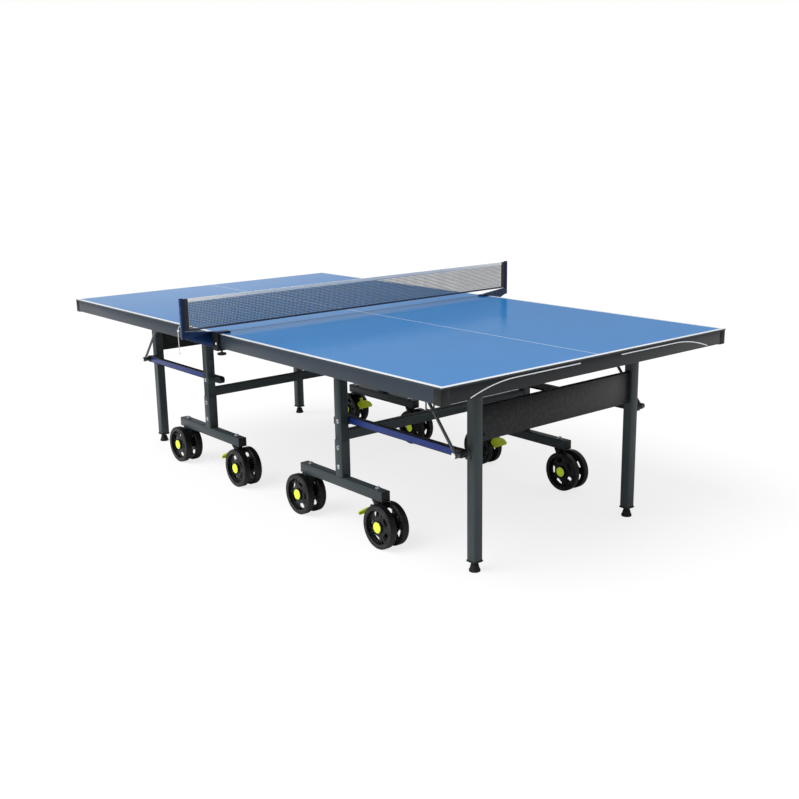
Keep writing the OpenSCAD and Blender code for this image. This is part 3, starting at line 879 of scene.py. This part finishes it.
def webMesh(width):
    # a disc with windows that rises towards its hub
    look, rim = wheelLook, wheelLook["rimRadius"]
    step = 2 * math.pi / look["windows"]
    outlines = [roundOutline(rim - 1.5 * mm), roundOutline(9 * mm, 24)]
    outlines += [windowOutline(step * (k + 0.5)) for k in range(look["windows"])]
    middle = Matrix.Translation((0, 0, width / 2))
    web = plate("web", outlines, look["webThickness"], look["webEdge"], middle)
    for vertex in web.vertices:
        share = 1 - math.hypot(vertex.co.x, vertex.co.y) / rim
        vertex.co.z += look["coneRise"] * share
    return web


def hubMesh(width):
    bore = wheelLook["bore"]
    return revolved("hub", [(bore, 0.5 * mm), (22 * mm, 0.5 * mm), (24 * mm, 2 * mm),
                            (25 * mm, width - 5 * mm), (24.3 * mm, width - 1.2 * mm),
                            (23 * mm, width - 0.2 * mm), (bore, width - 0.2 * mm)], 64)


def ribsMesh(width):
    # one rib between each two windows
    look = wheelLook
    rib = addObject("rib", roundedBlock((*look["ribSize"], look["ribHeight"]), (0, 0, 0), 0.8 * mm))
    values = {"Part": rib, "Count": look["windows"], "Radius": look["ribPlace"]}
    ribs = runTree("ribs", ringTree, values)
    mesh = moved(ribs.data, Matrix.Translation((0, 0, width / 2 + look["webThickness"] / 2 + 1.8 * mm)))
    drop(ribs, rib)
    return mesh


def hubCapMesh(width):
    # a low dome inside a raised lip
    edge = wheelLook["capEdge"]
    return revolved("cap", [(0, width + 3.2 * mm), (7 * mm, width + 3.0 * mm), (13 * mm, width + 2.4 * mm),
                            (17 * mm, width + 1.5 * mm), (17.8 * mm, width + 0.9 * mm),
                            (18.6 * mm, width + 1.6 * mm), (20.4 * mm, width + 1.3 * mm),
                            (edge, width + 0.4 * mm), (edge, width - 1.5 * mm), (0, width - 1.5 * mm)], 64)


def makeWheelMeshes(radius, width):
    centre = joinedMesh("wheelCentre", [rimMesh(width), webMesh(width), hubMesh(width), ribsMesh(width)])
    return tyreMesh(radius, width), centre, hubCapMesh(width)


def casterPlace(half, n):
    # swivel axis on the floor plane, wheels trailing outwards
    outer = n in (1, 3)
    reach = (beamHigh.x - beamLow.x) / 2 - casterLook["trail"]
    x = postX + (reach if outer else -reach)
    y = -postY if n <= 2 else postY
    place = Matrix.Translation((x, y, 0)) @ Matrix.Rotation(0 if outer else math.pi, 4, "Z")
    return halfTurn(half) @ place


def makeCasterWheels():
    tyre, centre, cap = makeWheelMeshes(casterLook["radius"], casterLook["wheelWidth"])
    sides = []
    for side in (1, -1):
        turn = Matrix.Rotation(-side * math.pi / 2, 4, "X")
        place = Matrix.Translation((casterLook["trail"], side * casterLook["wheelGap"] / 2,
                                    casterLook["radius"]))
        sides.append(place @ turn)
    for half in halves:
        for n in range(1, 5):
            name, body = half + str(n), "wheels_" + half + str(n)
            whole = casterPlace(half, n)
            parts = {"tyres": (tyre, "wheel", "tyre"), "centres": (centre, "wheel", "wheel"),
                     "caps": (cap, "brake_lever", "hub_cap")}
            for label, (mesh, slotName, look) in parts.items():
                meshes = [moved(mesh, whole @ side) for side in sides]
                piece = addObject("caster_" + label + "_" + name, joinedMesh(label + name, meshes))
                dress(piece, body, finish[look])
                if label == "centres":
                    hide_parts("caster_wheels_" + name)


makeCasterWheels()
print("wheels ready")


# ---- swivel rings and brake pedals ----
pedalLook = {
    "slope": 35,
    "length": 44 * mm,
    "width": 86 * mm,
    "start": -16 * mm,
    "thickness": 5 * mm,
    "hinge": (-26 * mm, 146 * mm),
    "corner": 7 * mm,
    "edge": 1.4 * mm,
    "ribs": 5,
    "ribSize": (2 * mm, 58 * mm, 1.8 * mm),
    "ribStep": -6 * mm,
    "lipDrop": 11 * mm,
    "hub": 7 * mm,
    "bore": 3.1 * mm,
    "hubHalf": 10.3 * mm,
}


def pedalOutline():
    # a broad pedal, narrower at its hinge, with round corners at its tip
    look = pedalLook
    half, tip, root, r = look["width"] / 2, look["start"] - look["length"], look["start"], look["corner"]
    points = [(root, -half * 0.6), (root, half * 0.6), (root - 12 * mm, half * 0.92),
              (root - 18 * mm, half)]
    points += arc((tip + r, half - r), r, 90, 180, 6)
    points += arc((tip + r, r - half), r, 180, 270, 6)
    points += [(root - 18 * mm, -half), (root - 12 * mm, -half * 0.92)]
    return points


def pedalShape():
    # a ribbed pad with a turned-down lip, on an arm with a round hub
    look = pedalLook
    slab = plate("pedal", [pedalOutline()], look["thickness"], look["edge"],
                 Matrix.Translation((0, 0, look["thickness"] / 2 - 1 * mm)))
    part = addObject("pedalRib", roundedBlock(look["ribSize"], (0, 0, 0), 0.6 * mm))
    first = (look["start"] - 14 * mm, 0, look["thickness"] - 0.8 * mm)
    values = {"Part": part, "Count": look["ribs"], "Step": (look["ribStep"], 0, 0)}
    ribs = runTree("pedalRibs", rowTree, values, (first,))
    lip = roundedBlock((5 * mm, look["width"] - 4 * mm, look["lipDrop"]),
                       (look["start"] - look["length"] + 3 * mm, 0, -3 * mm), 1.5 * mm)
    arm = roundedBlock((18 * mm, 18 * mm, 7 * mm), (-12.5 * mm, 0, -0.6 * mm), 1.2 * mm)
    r, bore, end, edge = look["hub"], look["bore"], look["hubHalf"], 0.7 * mm
    hub = revolved("pedalHub", [(bore, -end), (r - edge, -end), (r, edge - end), (r, end - edge),
                                (r - edge, end), (bore, end)], 40, Matrix.Rotation(math.pi / 2, 4, "X"))
    shape = joinedMesh("pedalShape", [slab, ribs.data, lip, arm, hub])
    drop(ribs, part)
    x, z = look["hinge"]
    lean = Matrix.Rotation(math.radians(-look["slope"]), 4, "Y")
    shape.transform(Matrix.Translation((x, 0, z)) @ lean)
    return shape


def makePedals():
    shape = pedalShape()
    for half in halves:
        for n in (1, 4):
            name = half + str(n)
            piece = addObject("brake_pedal_" + name, moved(shape, casterPlace(half, n)))
            dress(piece, "brake_" + name, finish["brake_lever"], 40)
            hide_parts("brake_lever_" + name)


makePedals()


def makeSwivelRings():
    # the bearing race between a fork's neck and its beam
    under = beamLow.z
    ring = revolved("race", [(18 * mm, under - 6.4 * mm), (22.8 * mm, under - 6.4 * mm),
                             (23.6 * mm, under - 5.6 * mm), (23.6 * mm, under - 4 * mm),
                             (22.6 * mm, under - 3.4 * mm), (22.6 * mm, under - 2.6 * mm),
                             (24.4 * mm, under - 2.2 * mm), (24.4 * mm, under - 0.6 * mm),
                             (18 * mm, under - 0.6 * mm)], 56)
    for half in halves:
        for n in range(1, 5):
            name = half + str(n)
            piece = addObject("swivel_race_" + name, moved(ring, casterPlace(half, n)))
            dress(piece, "fork_" + name, finish["caster_fork"])


makeSwivelRings()
print("casters ready")


# ---- levelling feet ----
footLook = {
    "radius": 21 * mm,
    "height": 28 * mm,
    "stem": 6 * mm,
    "pitch": 1.5 * mm,
    "turns": 12,
    "threadDepth": 0.7 * mm,
}


def threadProfile(radius, depth, start, pitch, turns):
    # the zigzag of a screw thread, from its start upwards
    points = []
    for k in range(turns):
        z = start + k * pitch
        points += [(radius - depth, z), (radius, z + pitch / 2)]
    return points


def makeFeet():
    r, h, stem = footLook["radius"], footLook["height"], footLook["stem"]
    pad = [(0, 0), (r - 1.5 * mm, 0)]
    pad += arc((r - 1.5 * mm, 1.5 * mm), 1.5 * mm, -90, 0, 4)
    pad += [(r, 7 * mm), (r - 0.8 * mm, 8.4 * mm), (r - 2.2 * mm, 9.2 * mm), (15.5 * mm, 22 * mm),
            (14.4 * mm, h - 2 * mm), (13.6 * mm, h - 0.6 * mm), (12.4 * mm, h), (0, h)]
    base = revolved("footPad", pad, 64)
    start, depth, turns, pitch = h - 1 * mm, footLook["threadDepth"], footLook["turns"], footLook["pitch"]
    end = start + turns * pitch
    threads = [(0, start)] + threadProfile(stem, depth, start, pitch, turns)
    threads += [(stem - depth, end), (0, end)]
    stud = revolved("footStud", threads, 32)
    for half in halves:
        for n, side in ((1, -1), (2, 1)):
            name, body = half + str(n), "foot_" + half + str(n)
            place = halfTurn(half) @ Matrix.Translation((legX, side * legY, 0))
            piece = addObject("foot_pad_" + name, moved(base, place))
            dress(piece, body, finish["foot"])
            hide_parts("foot_" + name)
            steel = addObject("foot_stud_" + name, moved(stud, place))
            dress(steel, body, finish["bolt"], 25)


def hexNut(radius, height):
    # a nut with turned-down corners
    return plate("nut", [roundOutline(radius, 6)], height, 0.7 * mm, Matrix.Translation((0, 0, height / 2)))


makeFeet()

legBandLook = {"height": 7 * mm, "skin": 1.2 * mm, "hole": 8 * mm}


def makeLegBands():
    # a plastic band round the foot of each leg
    look = legBandLook
    half = tube / 2 + look["skin"]
    square = [(-half, -half), (half, -half), (half, half), (-half, half)]
    band = plate("legBand", [square, roundOutline(look["hole"], 32)], look["height"], 0.8 * mm,
                 Matrix.Translation((0, 0, legLow.z + look["height"] / 2)))
    for name in halves:
        both = [moved(band, Matrix.Translation((legX, side * legY, 0))) for side in (-1, 1)]
        piece = addObject("leg_end_bands_" + name, onHalf(joinedMesh("bands", both), name))
        dress(piece, "legs_" + name, finish["black_fitting"])


makeLegBands()


# ---- bolts, nuts and pins ----
boltLook = {
    "head": 7 * mm,
    "height": 5 * mm,
    "washer": 9.5 * mm,
    "socket": 3.2 * mm,
    "nut": 8 * mm,
    "sleeveHalf": 22 * mm,
    "sleeveRises": (41 * mm, 120 * mm),
    "pin": 6 * mm,
    "pinReach": 12 * mm,
    "pinHead": (9 * mm, 4 * mm),
    "coverHead": (10.4 * mm, 3 * mm),
    "gap": 1 * mm,
}
screwLook = {
    "size": (4 * mm, 2.4 * mm, 5 * mm),
    "count": 6,
    "start": 100 * mm,
    "step": 220 * mm,
    "inset": 12 * mm,
    "panelSize": (5 * mm, 3 * mm, 6.5 * mm),
    "panelInset": 14 * mm,
    "panelMargin": 22 * mm,
}


def domeBolt(radius, height, washer):
    # a round head with a hexagon socket on a washer, standing along Z
    head = [(0, height * 0.45), (boltLook["socket"], height * 0.45), (boltLook["socket"], height * 0.98)]
    head += [(radius * 0.72, height * 0.93), (radius * 0.9, height * 0.74), (radius, height * 0.45),
             (radius, 1.2 * mm), (0, 1.2 * mm)]
    ring = [(0, 0), (washer, 0), (washer, 0.8 * mm), (washer - 0.4 * mm, 1.2 * mm), (0, 1.2 * mm)]
    return joinedMesh("domeBolt", [revolved("head", head, 24), revolved("washer", ring, 32)])


def pinHead(radius, height):
    points = [(0, 0), (radius, 0), (radius, height * 0.6)]
    points += [(radius - 0.8 * mm, height * 0.9), (radius - 1.8 * mm, height), (0, height)]
    return revolved("pinHead", points, 32)


# turns that point a part along one way: out is +Y, in is -Y, and the outer end is +X
facing = {
    "out": (-math.pi / 2, 0, 0),
    "in": (math.pi / 2, 0, 0),
    "up": (0, 0, 0),
    "down": (math.pi, 0, 0),
    "outer end": (0, math.pi / 2, 0),
}


def setOut(name, mesh, places, direction, body, look, half="a", count=1, step=(0, 0, 0)):
    # one mesh at every place, or a row from each place, pointing along one direction
    part = addObject(name + "Part", mesh)
    values = {"Part": part, "Count": count, "Step": step, "Turn": facing[direction]}
    piece = runTree(name, rowTree, values, places)
    drop(part)
    piece.data = onHalf(piece.data, half)
    dress(piece, body, finish[look], 32)
    return piece


def makePostBolts(half):
    # bolts through the sleeve and the bar ears of each post, with nuts inside the sleeve
    look = boltLook
    bolt = domeBolt(look["head"], look["height"], look["washer"])
    nut = hexNut(look["nut"], look["height"])
    heights = [beamHigh.z + rise for rise in look["sleeveRises"]]

    def atPost(reach, levels, side):
        return [(postX, side * (postY + reach), z) for z in levels]

    for label, side, way in (("near", -1, "in"), ("far", 1, "out")):
        spots = atPost(look["sleeveHalf"], heights, side) + atPost(tube / 2, [linkZ], side)
        setOut("post_bolts_" + label + "_" + half, bolt, spots, way, "carriage_" + half, "bolt", half)
    for label, side, way in (("near", -1, "out"), ("far", 1, "in")):
        spots = atPost(-look["sleeveHalf"], heights, side)
        setOut("post_nuts_" + label + "_" + half, nut, spots, way, "carriage_" + half, "bolt", half)


def makeCasterNuts(half):
    # the nut, washer and thread end above each caster
    reach = (beamHigh.x - beamLow.x) / 2 - casterLook["trail"]
    spots = [(postX + i * reach, j * postY, beamHigh.z) for i in (-1, 1) for j in (-1, 1)]
    tip = revolved("tip", [(0, 6 * mm), (5 * mm, 6 * mm), (5 * mm, 9 * mm), (4 * mm, 10 * mm),
                           (0, 10 * mm)], 24)
    stack = joinedMesh("stack", [hexNut(10 * mm, 7 * mm), pinHead(12.5 * mm, 1.4 * mm), tip])
    setOut("caster_nuts_" + half, stack, spots, "up", "carriage_" + half, "bolt", half)


def makePivotPins(half):
    # pins of the tops with their heads, and the inner heads of the link bars' pins
    carriage, reach, r = "carriage_" + half, boltLook["pinReach"], boltLook["pin"]
    pin = revolved("pin", [(0, -reach), (r, -reach), (r, reach), (0, reach)], 32,
                   Matrix.Rotation(math.pi / 2, 4, "X"))
    pins = [moved(pin, Matrix.Translation((pivotX, s * postY, pivotZ))) for s in (-1, 1)]
    rods = addObject("pivot_pins_" + half, onHalf(joinedMesh("pins", pins), half))
    dress(rods, carriage, finish["bolt"])
    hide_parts("carriage_bolts_" + half)
    head = pinHead(*boltLook["pinHead"])
    for label, way, side in (("far", 1, "out"), ("near", -1, "in")):
        spots = [(pivotX, s * postY + way * reach, pivotZ) for s in (1, -1)]
        setOut("pivot_heads_" + label + "_" + half, head, spots, side, carriage, "bolt", half)
    inner = linkHigh.y - linkT - boltLook["gap"]
    for label, way, side in (("far", 1, "in"), ("near", -1, "out")):
        setOut("link_heads_" + label + "_" + half, head, [(pivotX, way * inner, linkZ)], side, carriage,
               "bolt", half)


def makeLegPinHeads(half):
    # large heads on the leg pins
    cover = pinHead(*boltLook["coverHead"])
    for label, y, side in (("far", legHigh.y, "out"), ("near", legLow.y, "in")):
        setOut("leg_pin_heads_" + label + "_" + half, cover, [(legPinX, y, linkZ)], side, "legs_" + half,
               "white_bolt", half)


def makeFlangeScrews(half):
    # screws up through the flanges of the side rails
    look = screwLook
    starts = [(railLow.x + look["start"], s * (railHigh.y - look["inset"]), railLow.z) for s in (-1, 1)]
    setOut("flange_screws_" + half, domeBolt(*look["size"]), starts, "down", "top_" + half,
           "bolt", half, look["count"], (look["step"], 0, 0))


def makePanelScrews(half):
    # four black screws that hold the cross panel
    margin, height = screwLook["panelMargin"], panelHigh.z - panelLow.z
    spots = [(panelHigh.x, s * (panelHigh.y - screwLook["panelInset"]), panelLow.z + rise)
             for s in (-1, 1) for rise in (margin, height - margin)]
    setOut("panel_screws_" + half, domeBolt(*screwLook["panelSize"]), spots, "outer end", "legs_" + half,
           "black_fitting", half)


def makeFasteners():
    for half in halves:
        makePostBolts(half)
        makeCasterNuts(half)
        makePivotPins(half)
        makeLegPinHeads(half)
        makeFlangeScrews(half)
        makePanelScrews(half)


makeFasteners()
print("fasteners ready")


# ---- end caps of the link bars ----
barCapLook = {"skin": 0.5 * mm, "length": 24 * mm, "edge": 0.9 * mm, "bore": 6.3 * mm}


def makeBarCaps():
    # a plastic shoe over each end of each bar
    skin = barCapLook["skin"]
    middleY = linkHigh.y - linkT / 2
    for half in halves:
        meshes = []
        for x, way in ((pivotX, 1), (legPinX, -1)):
            r = linkR + skin
            outline = arc((0, 0), r, 90, 270, 20) + [(barCapLook["length"], -r), (barCapLook["length"], r)]
            outline = [(way * px, pz) for px, pz in outline]
            hole = roundOutline(barCapLook["bore"], 32)
            turn = Matrix.Rotation(math.pi / 2, 4, "X")
            shape = plate("barCap", [outline, hole], linkT + 2 * skin, barCapLook["edge"], turn)
            for side in (-1, 1):
                meshes.append(moved(shape, Matrix.Translation((x, side * middleY, linkZ))))
        piece = addObject("link_bar_caps_" + half, onHalf(joinedMesh("barCaps", meshes), half))
        dress(piece, "links_" + half, finish["black_fitting"])


makeBarCaps()

barFilmLook = {"from": 40 * mm, "to": 26 * mm, "height": 23 * mm, "proud": 0.3 * mm, "corner": 2 * mm}


def makeBarFilms():
    # the blue film along the outer face of each bar
    look = barFilmLook
    x0, x1, h, r = pivotX + look["from"], legPinX - look["to"], look["height"] / 2, look["corner"]
    outline = arc((x1 - r, h - r), r, 0, 90, 5) + arc((x0 + r, h - r), r, 90, 180, 5)
    outline += arc((x0 + r, r - h), r, 180, 270, 5) + arc((x1 - r, r - h), r, 270, 360, 5)
    film = plate("film", [outline], 2 * look["proud"], 0.1 * mm, Matrix.Rotation(math.pi / 2, 4, "X"))
    for half in halves:
        sides = [moved(film, Matrix.Translation((0, s * linkHigh.y, linkZ))) for s in (-1, 1)]
        piece = addObject("link_bar_film_" + half, onHalf(joinedMesh("films", sides), half))
        dress(piece, "links_" + half, finish["link_bar"])


makeBarFilms()


# ---- the printed arc on each outer end rail ----
arcLook = {
    "width": 3.6 * mm,
    "proud": 0.3 * mm,
    "sunk": 0.5 * mm,
    "from": 112 * mm,
    "bend": 430 * mm,
    "to": 640 * mm,
    "below": 15 * mm,
    "drop": 37 * mm,
    "steps": 40,
}


def makePrintedArc():
    # a straight stretch that bends down towards each corner
    look = arcLook
    back, front, high = endHigh.x - look["sunk"], endHigh.x + look["proud"], topHigh.z - look["below"]
    reach = look["to"] - look["bend"]
    for half in halves:
        arms = []
        for side in (-1, 1):
            rows = []
            for k in range(look["steps"] + 1):
                y = look["from"] + (look["to"] - look["from"]) * k / look["steps"]
                share = max(0, y - look["bend"]) / reach
                z = high - look["drop"] * share ** 2
                slope = -2 * look["drop"] * share / reach
                length = math.hypot(1, slope)
                ny, nz = -slope / length * look["width"] / 2, 1 / length * look["width"] / 2
                rows.append([(back, side * (y + ny), z + nz), (front, side * (y + ny), z + nz),
                             (front, side * (y - ny), z - nz), (back, side * (y - ny), z - nz)])
            arms.append(loftMesh("arc", rows))
        piece = addObject("end_rail_arc_" + half, onHalf(joinedMesh("arc", arms), half))
        dress(piece, "top_" + half, finish["printed_line"])


makePrintedArc()
print("printed arcs ready")


# ---- the net ----
netLook = {
    "pitch": 6.8 * mm,
    "thread": 1.26 * mm,
    "knot": 1.8 * mm,
    "rippleRates": (37, 83),
    "tapeRipple": 0.12 * mm,
    "hemHeight": 5 * mm,
    "hemDrop": 0.5 * mm,
    "hemThickness": 2.4 * mm,
    "hemRipple": 0.1 * mm,
    "seamInset": 6 * mm,
    "seamRise": 2.6 * mm,
    "seamSink": 0.97,
    "stitchStep": 3.4 * mm,
    "stitchLength": 2.3 * mm,
    "wrinkle": 0.5 * mm,
}


def bandMesh(name, thickness, low, high, halfLength, steps, power, ripple):
    # a long cloth band along Y with a rounded section that ripples slightly along its length
    middle, half = (low + high) / 2, (high - low) / 2
    slow, fast = netLook["rippleRates"]
    rows = []
    for k in range(steps + 1):
        y = -halfLength + 2 * halfLength * k / steps
        wave = ripple * (math.sin(y * slow) + 0.6 * math.sin(y * fast + 1))
        rows.append([(thickness / 2 * swell(math.cos(angle), 2 / power) + wave, y,
                      middle + half * swell(math.sin(angle), 2 / power)) for angle in circleAngles(20)])
    return loftMesh(name, rows)


def stitchPart(length):
    # one short thread bump that lies along Y
    profile = [(0, -length / 2), (0.28 * mm, -length / 2 + 0.3 * mm), (0.4 * mm, 0),
               (0.28 * mm, length / 2 - 0.3 * mm), (0, length / 2)]
    return revolved("stitch", profile, 5, Matrix.Rotation(math.pi / 2, 4, "X"))


def stitchRow(name, length, starts):
    # stitches in a line along Y
    look = netLook
    part = addObject(name + "Part", stitchPart(look["stitchLength"]))
    values = {"Part": part, "Count": int(length / look["stitchStep"]), "Step": (0, look["stitchStep"], 0),
              "Turn": (0, 0, 0)}
    made = runTree(name, rowTree, values, starts)
    drop(part)
    return made


def makeSeam():
    # a row of stitches along each side of the tape
    low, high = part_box("net_tape")
    inset, z = netLook["seamInset"], low.z + netLook["seamRise"]
    rows = []
    for x in (high.x, low.x):
        start = (x * netLook["seamSink"], low.y + inset, z)
        rows.append(stitchRow("net_tape_stitches", high.y - low.y - 2 * inset, (start,)))
    seam = addObject("net_tape_seam", joinedMesh("seam", [row.data for row in rows]))
    drop(*rows)
    dress(seam, "top_a", finish["net_tape"], 60)
    return seam


def sleeveMesh(side):
    # a cloth tube round one post, with slight pinches and folds
    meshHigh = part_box("net_mesh")[1]
    low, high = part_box("net_sleeves")
    span, steps = (high.y - meshHigh.y) / 2, 40
    middle = side * (meshHigh.y + span)
    rows = []
    for k in range(steps + 1):
        share = k / steps
        pinch = 1 - 0.1 * math.sin(share * 9 + side) ** 2
        ring = []
        for angle in circleAngles(28):
            c, s = math.cos(angle), math.sin(angle)
            fold = netLook["wrinkle"] * math.sin(share * 21 + 3 * c + side) * 0.6
            ring.append(((high.x * pinch + fold) * swell(c, 0.6), middle + span * swell(s, 0.4),
                         low.z + (high.z - low.z) * share))
        rows.append(ring)
    return loftMesh("sleeve", rows)


def makeNet():
    look = netLook
    meshLow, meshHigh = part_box("net_mesh")
    tapeLow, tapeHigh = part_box("net_tape")
    width, height = meshHigh.y - meshLow.y, meshHigh.z - meshLow.z
    netting = runTree("netting", nettingTree, {"Width": width, "Height": height, "Pitch": look["pitch"],
                                               "Thread": look["thread"], "Knot": look["knot"]})
    netting.data.transform(Matrix.Translation((0, 0, (meshLow.z + meshHigh.z) / 2)))
    dress(netting, "top_a", finish["net_mesh"], 60)
    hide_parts("net_mesh")
    tape = addObject("net_top_tape", bandMesh("tape", tapeHigh.x - tapeLow.x, tapeLow.z, tapeHigh.z,
                                              tapeHigh.y, 220, 5, look["tapeRipple"]))
    dress(tape, "top_a", finish["net_tape"])
    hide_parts("net_tape")
    hem = addObject("net_lower_hem", bandMesh("hem", look["hemThickness"], meshLow.z - look["hemDrop"],
                                              meshLow.z + look["hemHeight"], meshHigh.y, 180, 4,
                                              look["hemRipple"]))
    dress(hem, "top_a", finish["net_hem"])
    seam = makeSeam()
    sleeve = addObject("net_end_sleeves", joinedMesh("sleeves", [sleeveMesh(side) for side in (-1, 1)]))
    dress(sleeve, "top_a", finish["net_sleeve"], 50)
    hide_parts("net_sleeves")


makeNet()


def makeCordPieces():
    netCord.data.materials.append(finish["net_cord"])
    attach(netCord, "top_a")
    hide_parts("net_cord")
    look = netCordLook
    place = Vector(cordPoints[look["beadAt"]]) * mm
    bead = revolved("bead", arc((0, 0), look["beadRadius"], -70, 70, 12), 32)
    bead = addObject("net_cord_bead", moved(bead, Matrix.Translation(place)))
    dress(bead, "top_a", finish["white_bolt"])
    end, r = Vector(cordPoints[-1]) * mm, look["coilRadius"]
    middle = look["knotRadius"] * look["knotWaist"]
    coils = []
    for step in (-1, 0, 1):
        ring = [(middle + x, z) for x, z in roundOutline(r, 10)]
        lean = Matrix.Rotation(look["coilLean"] * step, 4, "X")
        spot = Matrix.Translation(end + Vector((0, 0, step * look["coilStep"])))
        coils.append(revolved("coil", ring, 24, spot @ lean))
    knot = addObject("net_cord_knot", joinedMesh("knot", coils))
    dress(knot, "top_a", finish["net_cord"], 60)


makeCordPieces()
print("net ready")


# ---- clamp screws and bracket details ----
knobLook = {
    "radius": 19 * mm,
    "height": 9 * mm,
    "grips": 18,
    "gripRadius": 1.4 * mm,
    "stem": 5 * mm,
    "pitch": 1.5 * mm,
    "threadDepth": 0.6 * mm,
}
capBoltLook = {"size": (5 * mm, 3 * mm), "inset": 9 * mm, "reach": 15 * mm, "drop": 38 * mm}


def makeClampScrews():
    look = knobLook
    for side in ("near", "far"):
        low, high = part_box("clamp_screw_" + side)
        centre = Vector(((low.x + high.x) / 2, (low.y + high.y) / 2, 0))
        r, h = look["radius"] - look["gripRadius"], look["height"]
        knob = revolved("knob", [
            (0, 0.8 * mm), (r * 0.45, 0.8 * mm), (r * 0.5, 0), (r - 1.5 * mm, 0), (r, 1.5 * mm),
            (r, h - 1.5 * mm), (r - 1.5 * mm, h), (8 * mm, h), (7 * mm, h + 2 * mm), (0, h + 2 * mm)], 56)
        grip = revolved("grip", [(0, 1.2 * mm), (look["gripRadius"], 1.8 * mm), (1.5 * mm, h - 1.8 * mm),
                                 (0, h - 1.2 * mm)], 8)
        part = addObject("gripPart", grip)
        grips = runTree("grips", ringTree, {"Part": part, "Count": look["grips"], "Radius": r})
        place = Matrix.Translation(centre + Vector((0, 0, low.z)))
        head = addObject("clamp_knob_" + side, moved(joinedMesh("knob", [knob, grips.data]), place))
        drop(grips, part)
        dress(head, "clamp_" + side, finish["clamp_screw"], 40)
        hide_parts("clamp_screw_" + side)
        length = high.z - low.z - h
        stem, depth, pitch = look["stem"], look["threadDepth"], look["pitch"]
        turns = int((length - 3 * mm) / pitch)
        threads = [(0, 0)] + threadProfile(stem, depth, 0, pitch, turns)
        threads += [(stem - depth, turns * pitch), (stem, length - 2.5 * mm), (stem, length - 0.5 * mm),
                    (stem - 0.5 * mm, length), (0, length)]
        above = Matrix.Translation(centre + Vector((0, 0, low.z + h)))
        screw = addObject("clamp_stem_" + side, revolved("stem", threads, 32, above))
        dress(screw, "clamp_" + side, finish["rod_steel"], 25)


makeClampScrews()


def makeBracketBolts():
    # a white cap bolt on the face of each clamp
    for side, sign, direction in (("near", -1, "in"), ("far", 1, "out")):
        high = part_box("net_bracket_" + side)[1]
        place = (high.x - capBoltLook["inset"], sign * (topHigh.y + capBoltLook["reach"]),
                 topHigh.z - capBoltLook["drop"])
        cap = pinHead(*capBoltLook["size"])
        setOut("clamp_bolt_" + side, cap, [place], direction, "top_a", "white_bolt")


makeBracketBolts()
print("clamps ready")


# ---- soft studio ----
studio = {
    "floor": "f2f2f2",
    "floorSize": 400,
    "floorGlow": 0.78,
    "backdrop": 1.0,
    "lowSky": 0.14,
    "highSky": 0.7,
    "skyTurn": 0.55,
    "backGlow": 0.62,
    "backSide": (-0.93, 0.37, 0.0),
    "backSpread": (0.93, 0.985),
    "backRise": (0.10, 0.165),
    "sunPower": 3.3,
    "sunAngle": 55,
    "sunFrom": (-0.3, -1.0, 1.15),
}


def makeFloor():
    s = studio["floorSize"] / 2
    floor = bpy.data.meshes.new("studioFloor")
    floor.from_pydata([(-s, -s, 0), (s, -s, 0), (s, s, 0), (-s, s, 0)], [], [(0, 1, 2, 3)])
    ground = addObject("studioFloor", floor)
    material, new, link, shader = newFinish(
        "studioFloor", {"Base Color": colour(studio["floor"]), "Roughness": 0.9})
    # a glow that only the eye sees keeps the shadows faint
    path = new("ShaderNodeLightPath")
    paintedGlow = new("ShaderNodeEmission")
    mixed = new("ShaderNodeMixShader")
    seen = sumNode(new, link, "MULTIPLY", path.outputs["Is Camera Ray"], studio["floorGlow"])
    link(seen, mixed.inputs[0])
    link(shader.outputs[0], mixed.inputs[1])
    link(paintedGlow.outputs[0], mixed.inputs[2])
    link(mixed.outputs[0], material.node_tree.nodes["Material Output"].inputs["Surface"])
    ground.data.materials.append(material)


def makeSky():
    # the sky is white to the eye, and dimmer low down for what it lights
    world = bpy.data.worlds.new("studio")
    world.use_nodes = True
    nodes = world.node_tree.nodes
    new, link = nodes.new, world.node_tree.links.new
    sky, out = nodes["Background"], nodes["World Output"]
    place = new("ShaderNodeTexCoord")
    split = new("ShaderNodeSeparateXYZ")
    link(place.outputs["Generated"], split.inputs[0])
    rise = rangeNode(new, link, split.outputs["Z"], 0, studio["skyTurn"], studio["lowSky"],
                     studio["highSky"])
    # a low bright wall behind the table, which its far half mirrors
    side = new("ShaderNodeVectorMath")
    side.operation = "DOT_PRODUCT"
    side.inputs[1].default_value = studio["backSide"]
    link(place.outputs["Generated"], side.inputs[0])
    wall = rangeNode(new, link, split.outputs["Z"], *studio["backRise"], studio["backGlow"], 0)
    ahead = rangeNode(new, link, side.outputs["Value"], *studio["backSpread"])
    sky.inputs["Color"].default_value = (1, 1, 1, 1)
    link(sumNode(new, link, "MULTIPLY_ADD", ahead, wall, rise), sky.inputs["Strength"])
    backdrop = new("ShaderNodeBackground")
    backdrop.inputs["Color"].default_value = (1, 1, 1, 1)
    backdrop.inputs["Strength"].default_value = studio["backdrop"]
    path = new("ShaderNodeLightPath")
    seen = new("ShaderNodeMixShader")
    link(path.outputs["Is Camera Ray"], seen.inputs[0])
    link(sky.outputs[0], seen.inputs[1])
    link(backdrop.outputs[0], seen.inputs[2])
    link(seen.outputs[0], out.inputs["Surface"])
    scene.world = world


def makeSun():
    data = bpy.data.lights.new("softSun", "SUN")
    data.energy = studio["sunPower"]
    data.angle = math.radians(studio["sunAngle"])
    sun = bpy.data.objects.new("softSun", data)
    sun.rotation_euler = Vector(studio["sunFrom"]).to_track_quat("Z", "Y").to_euler()
    scene.collection.objects.link(sun)


def makeStudio():
    makeFloor()
    makeSky()
    makeSun()


makeStudio()
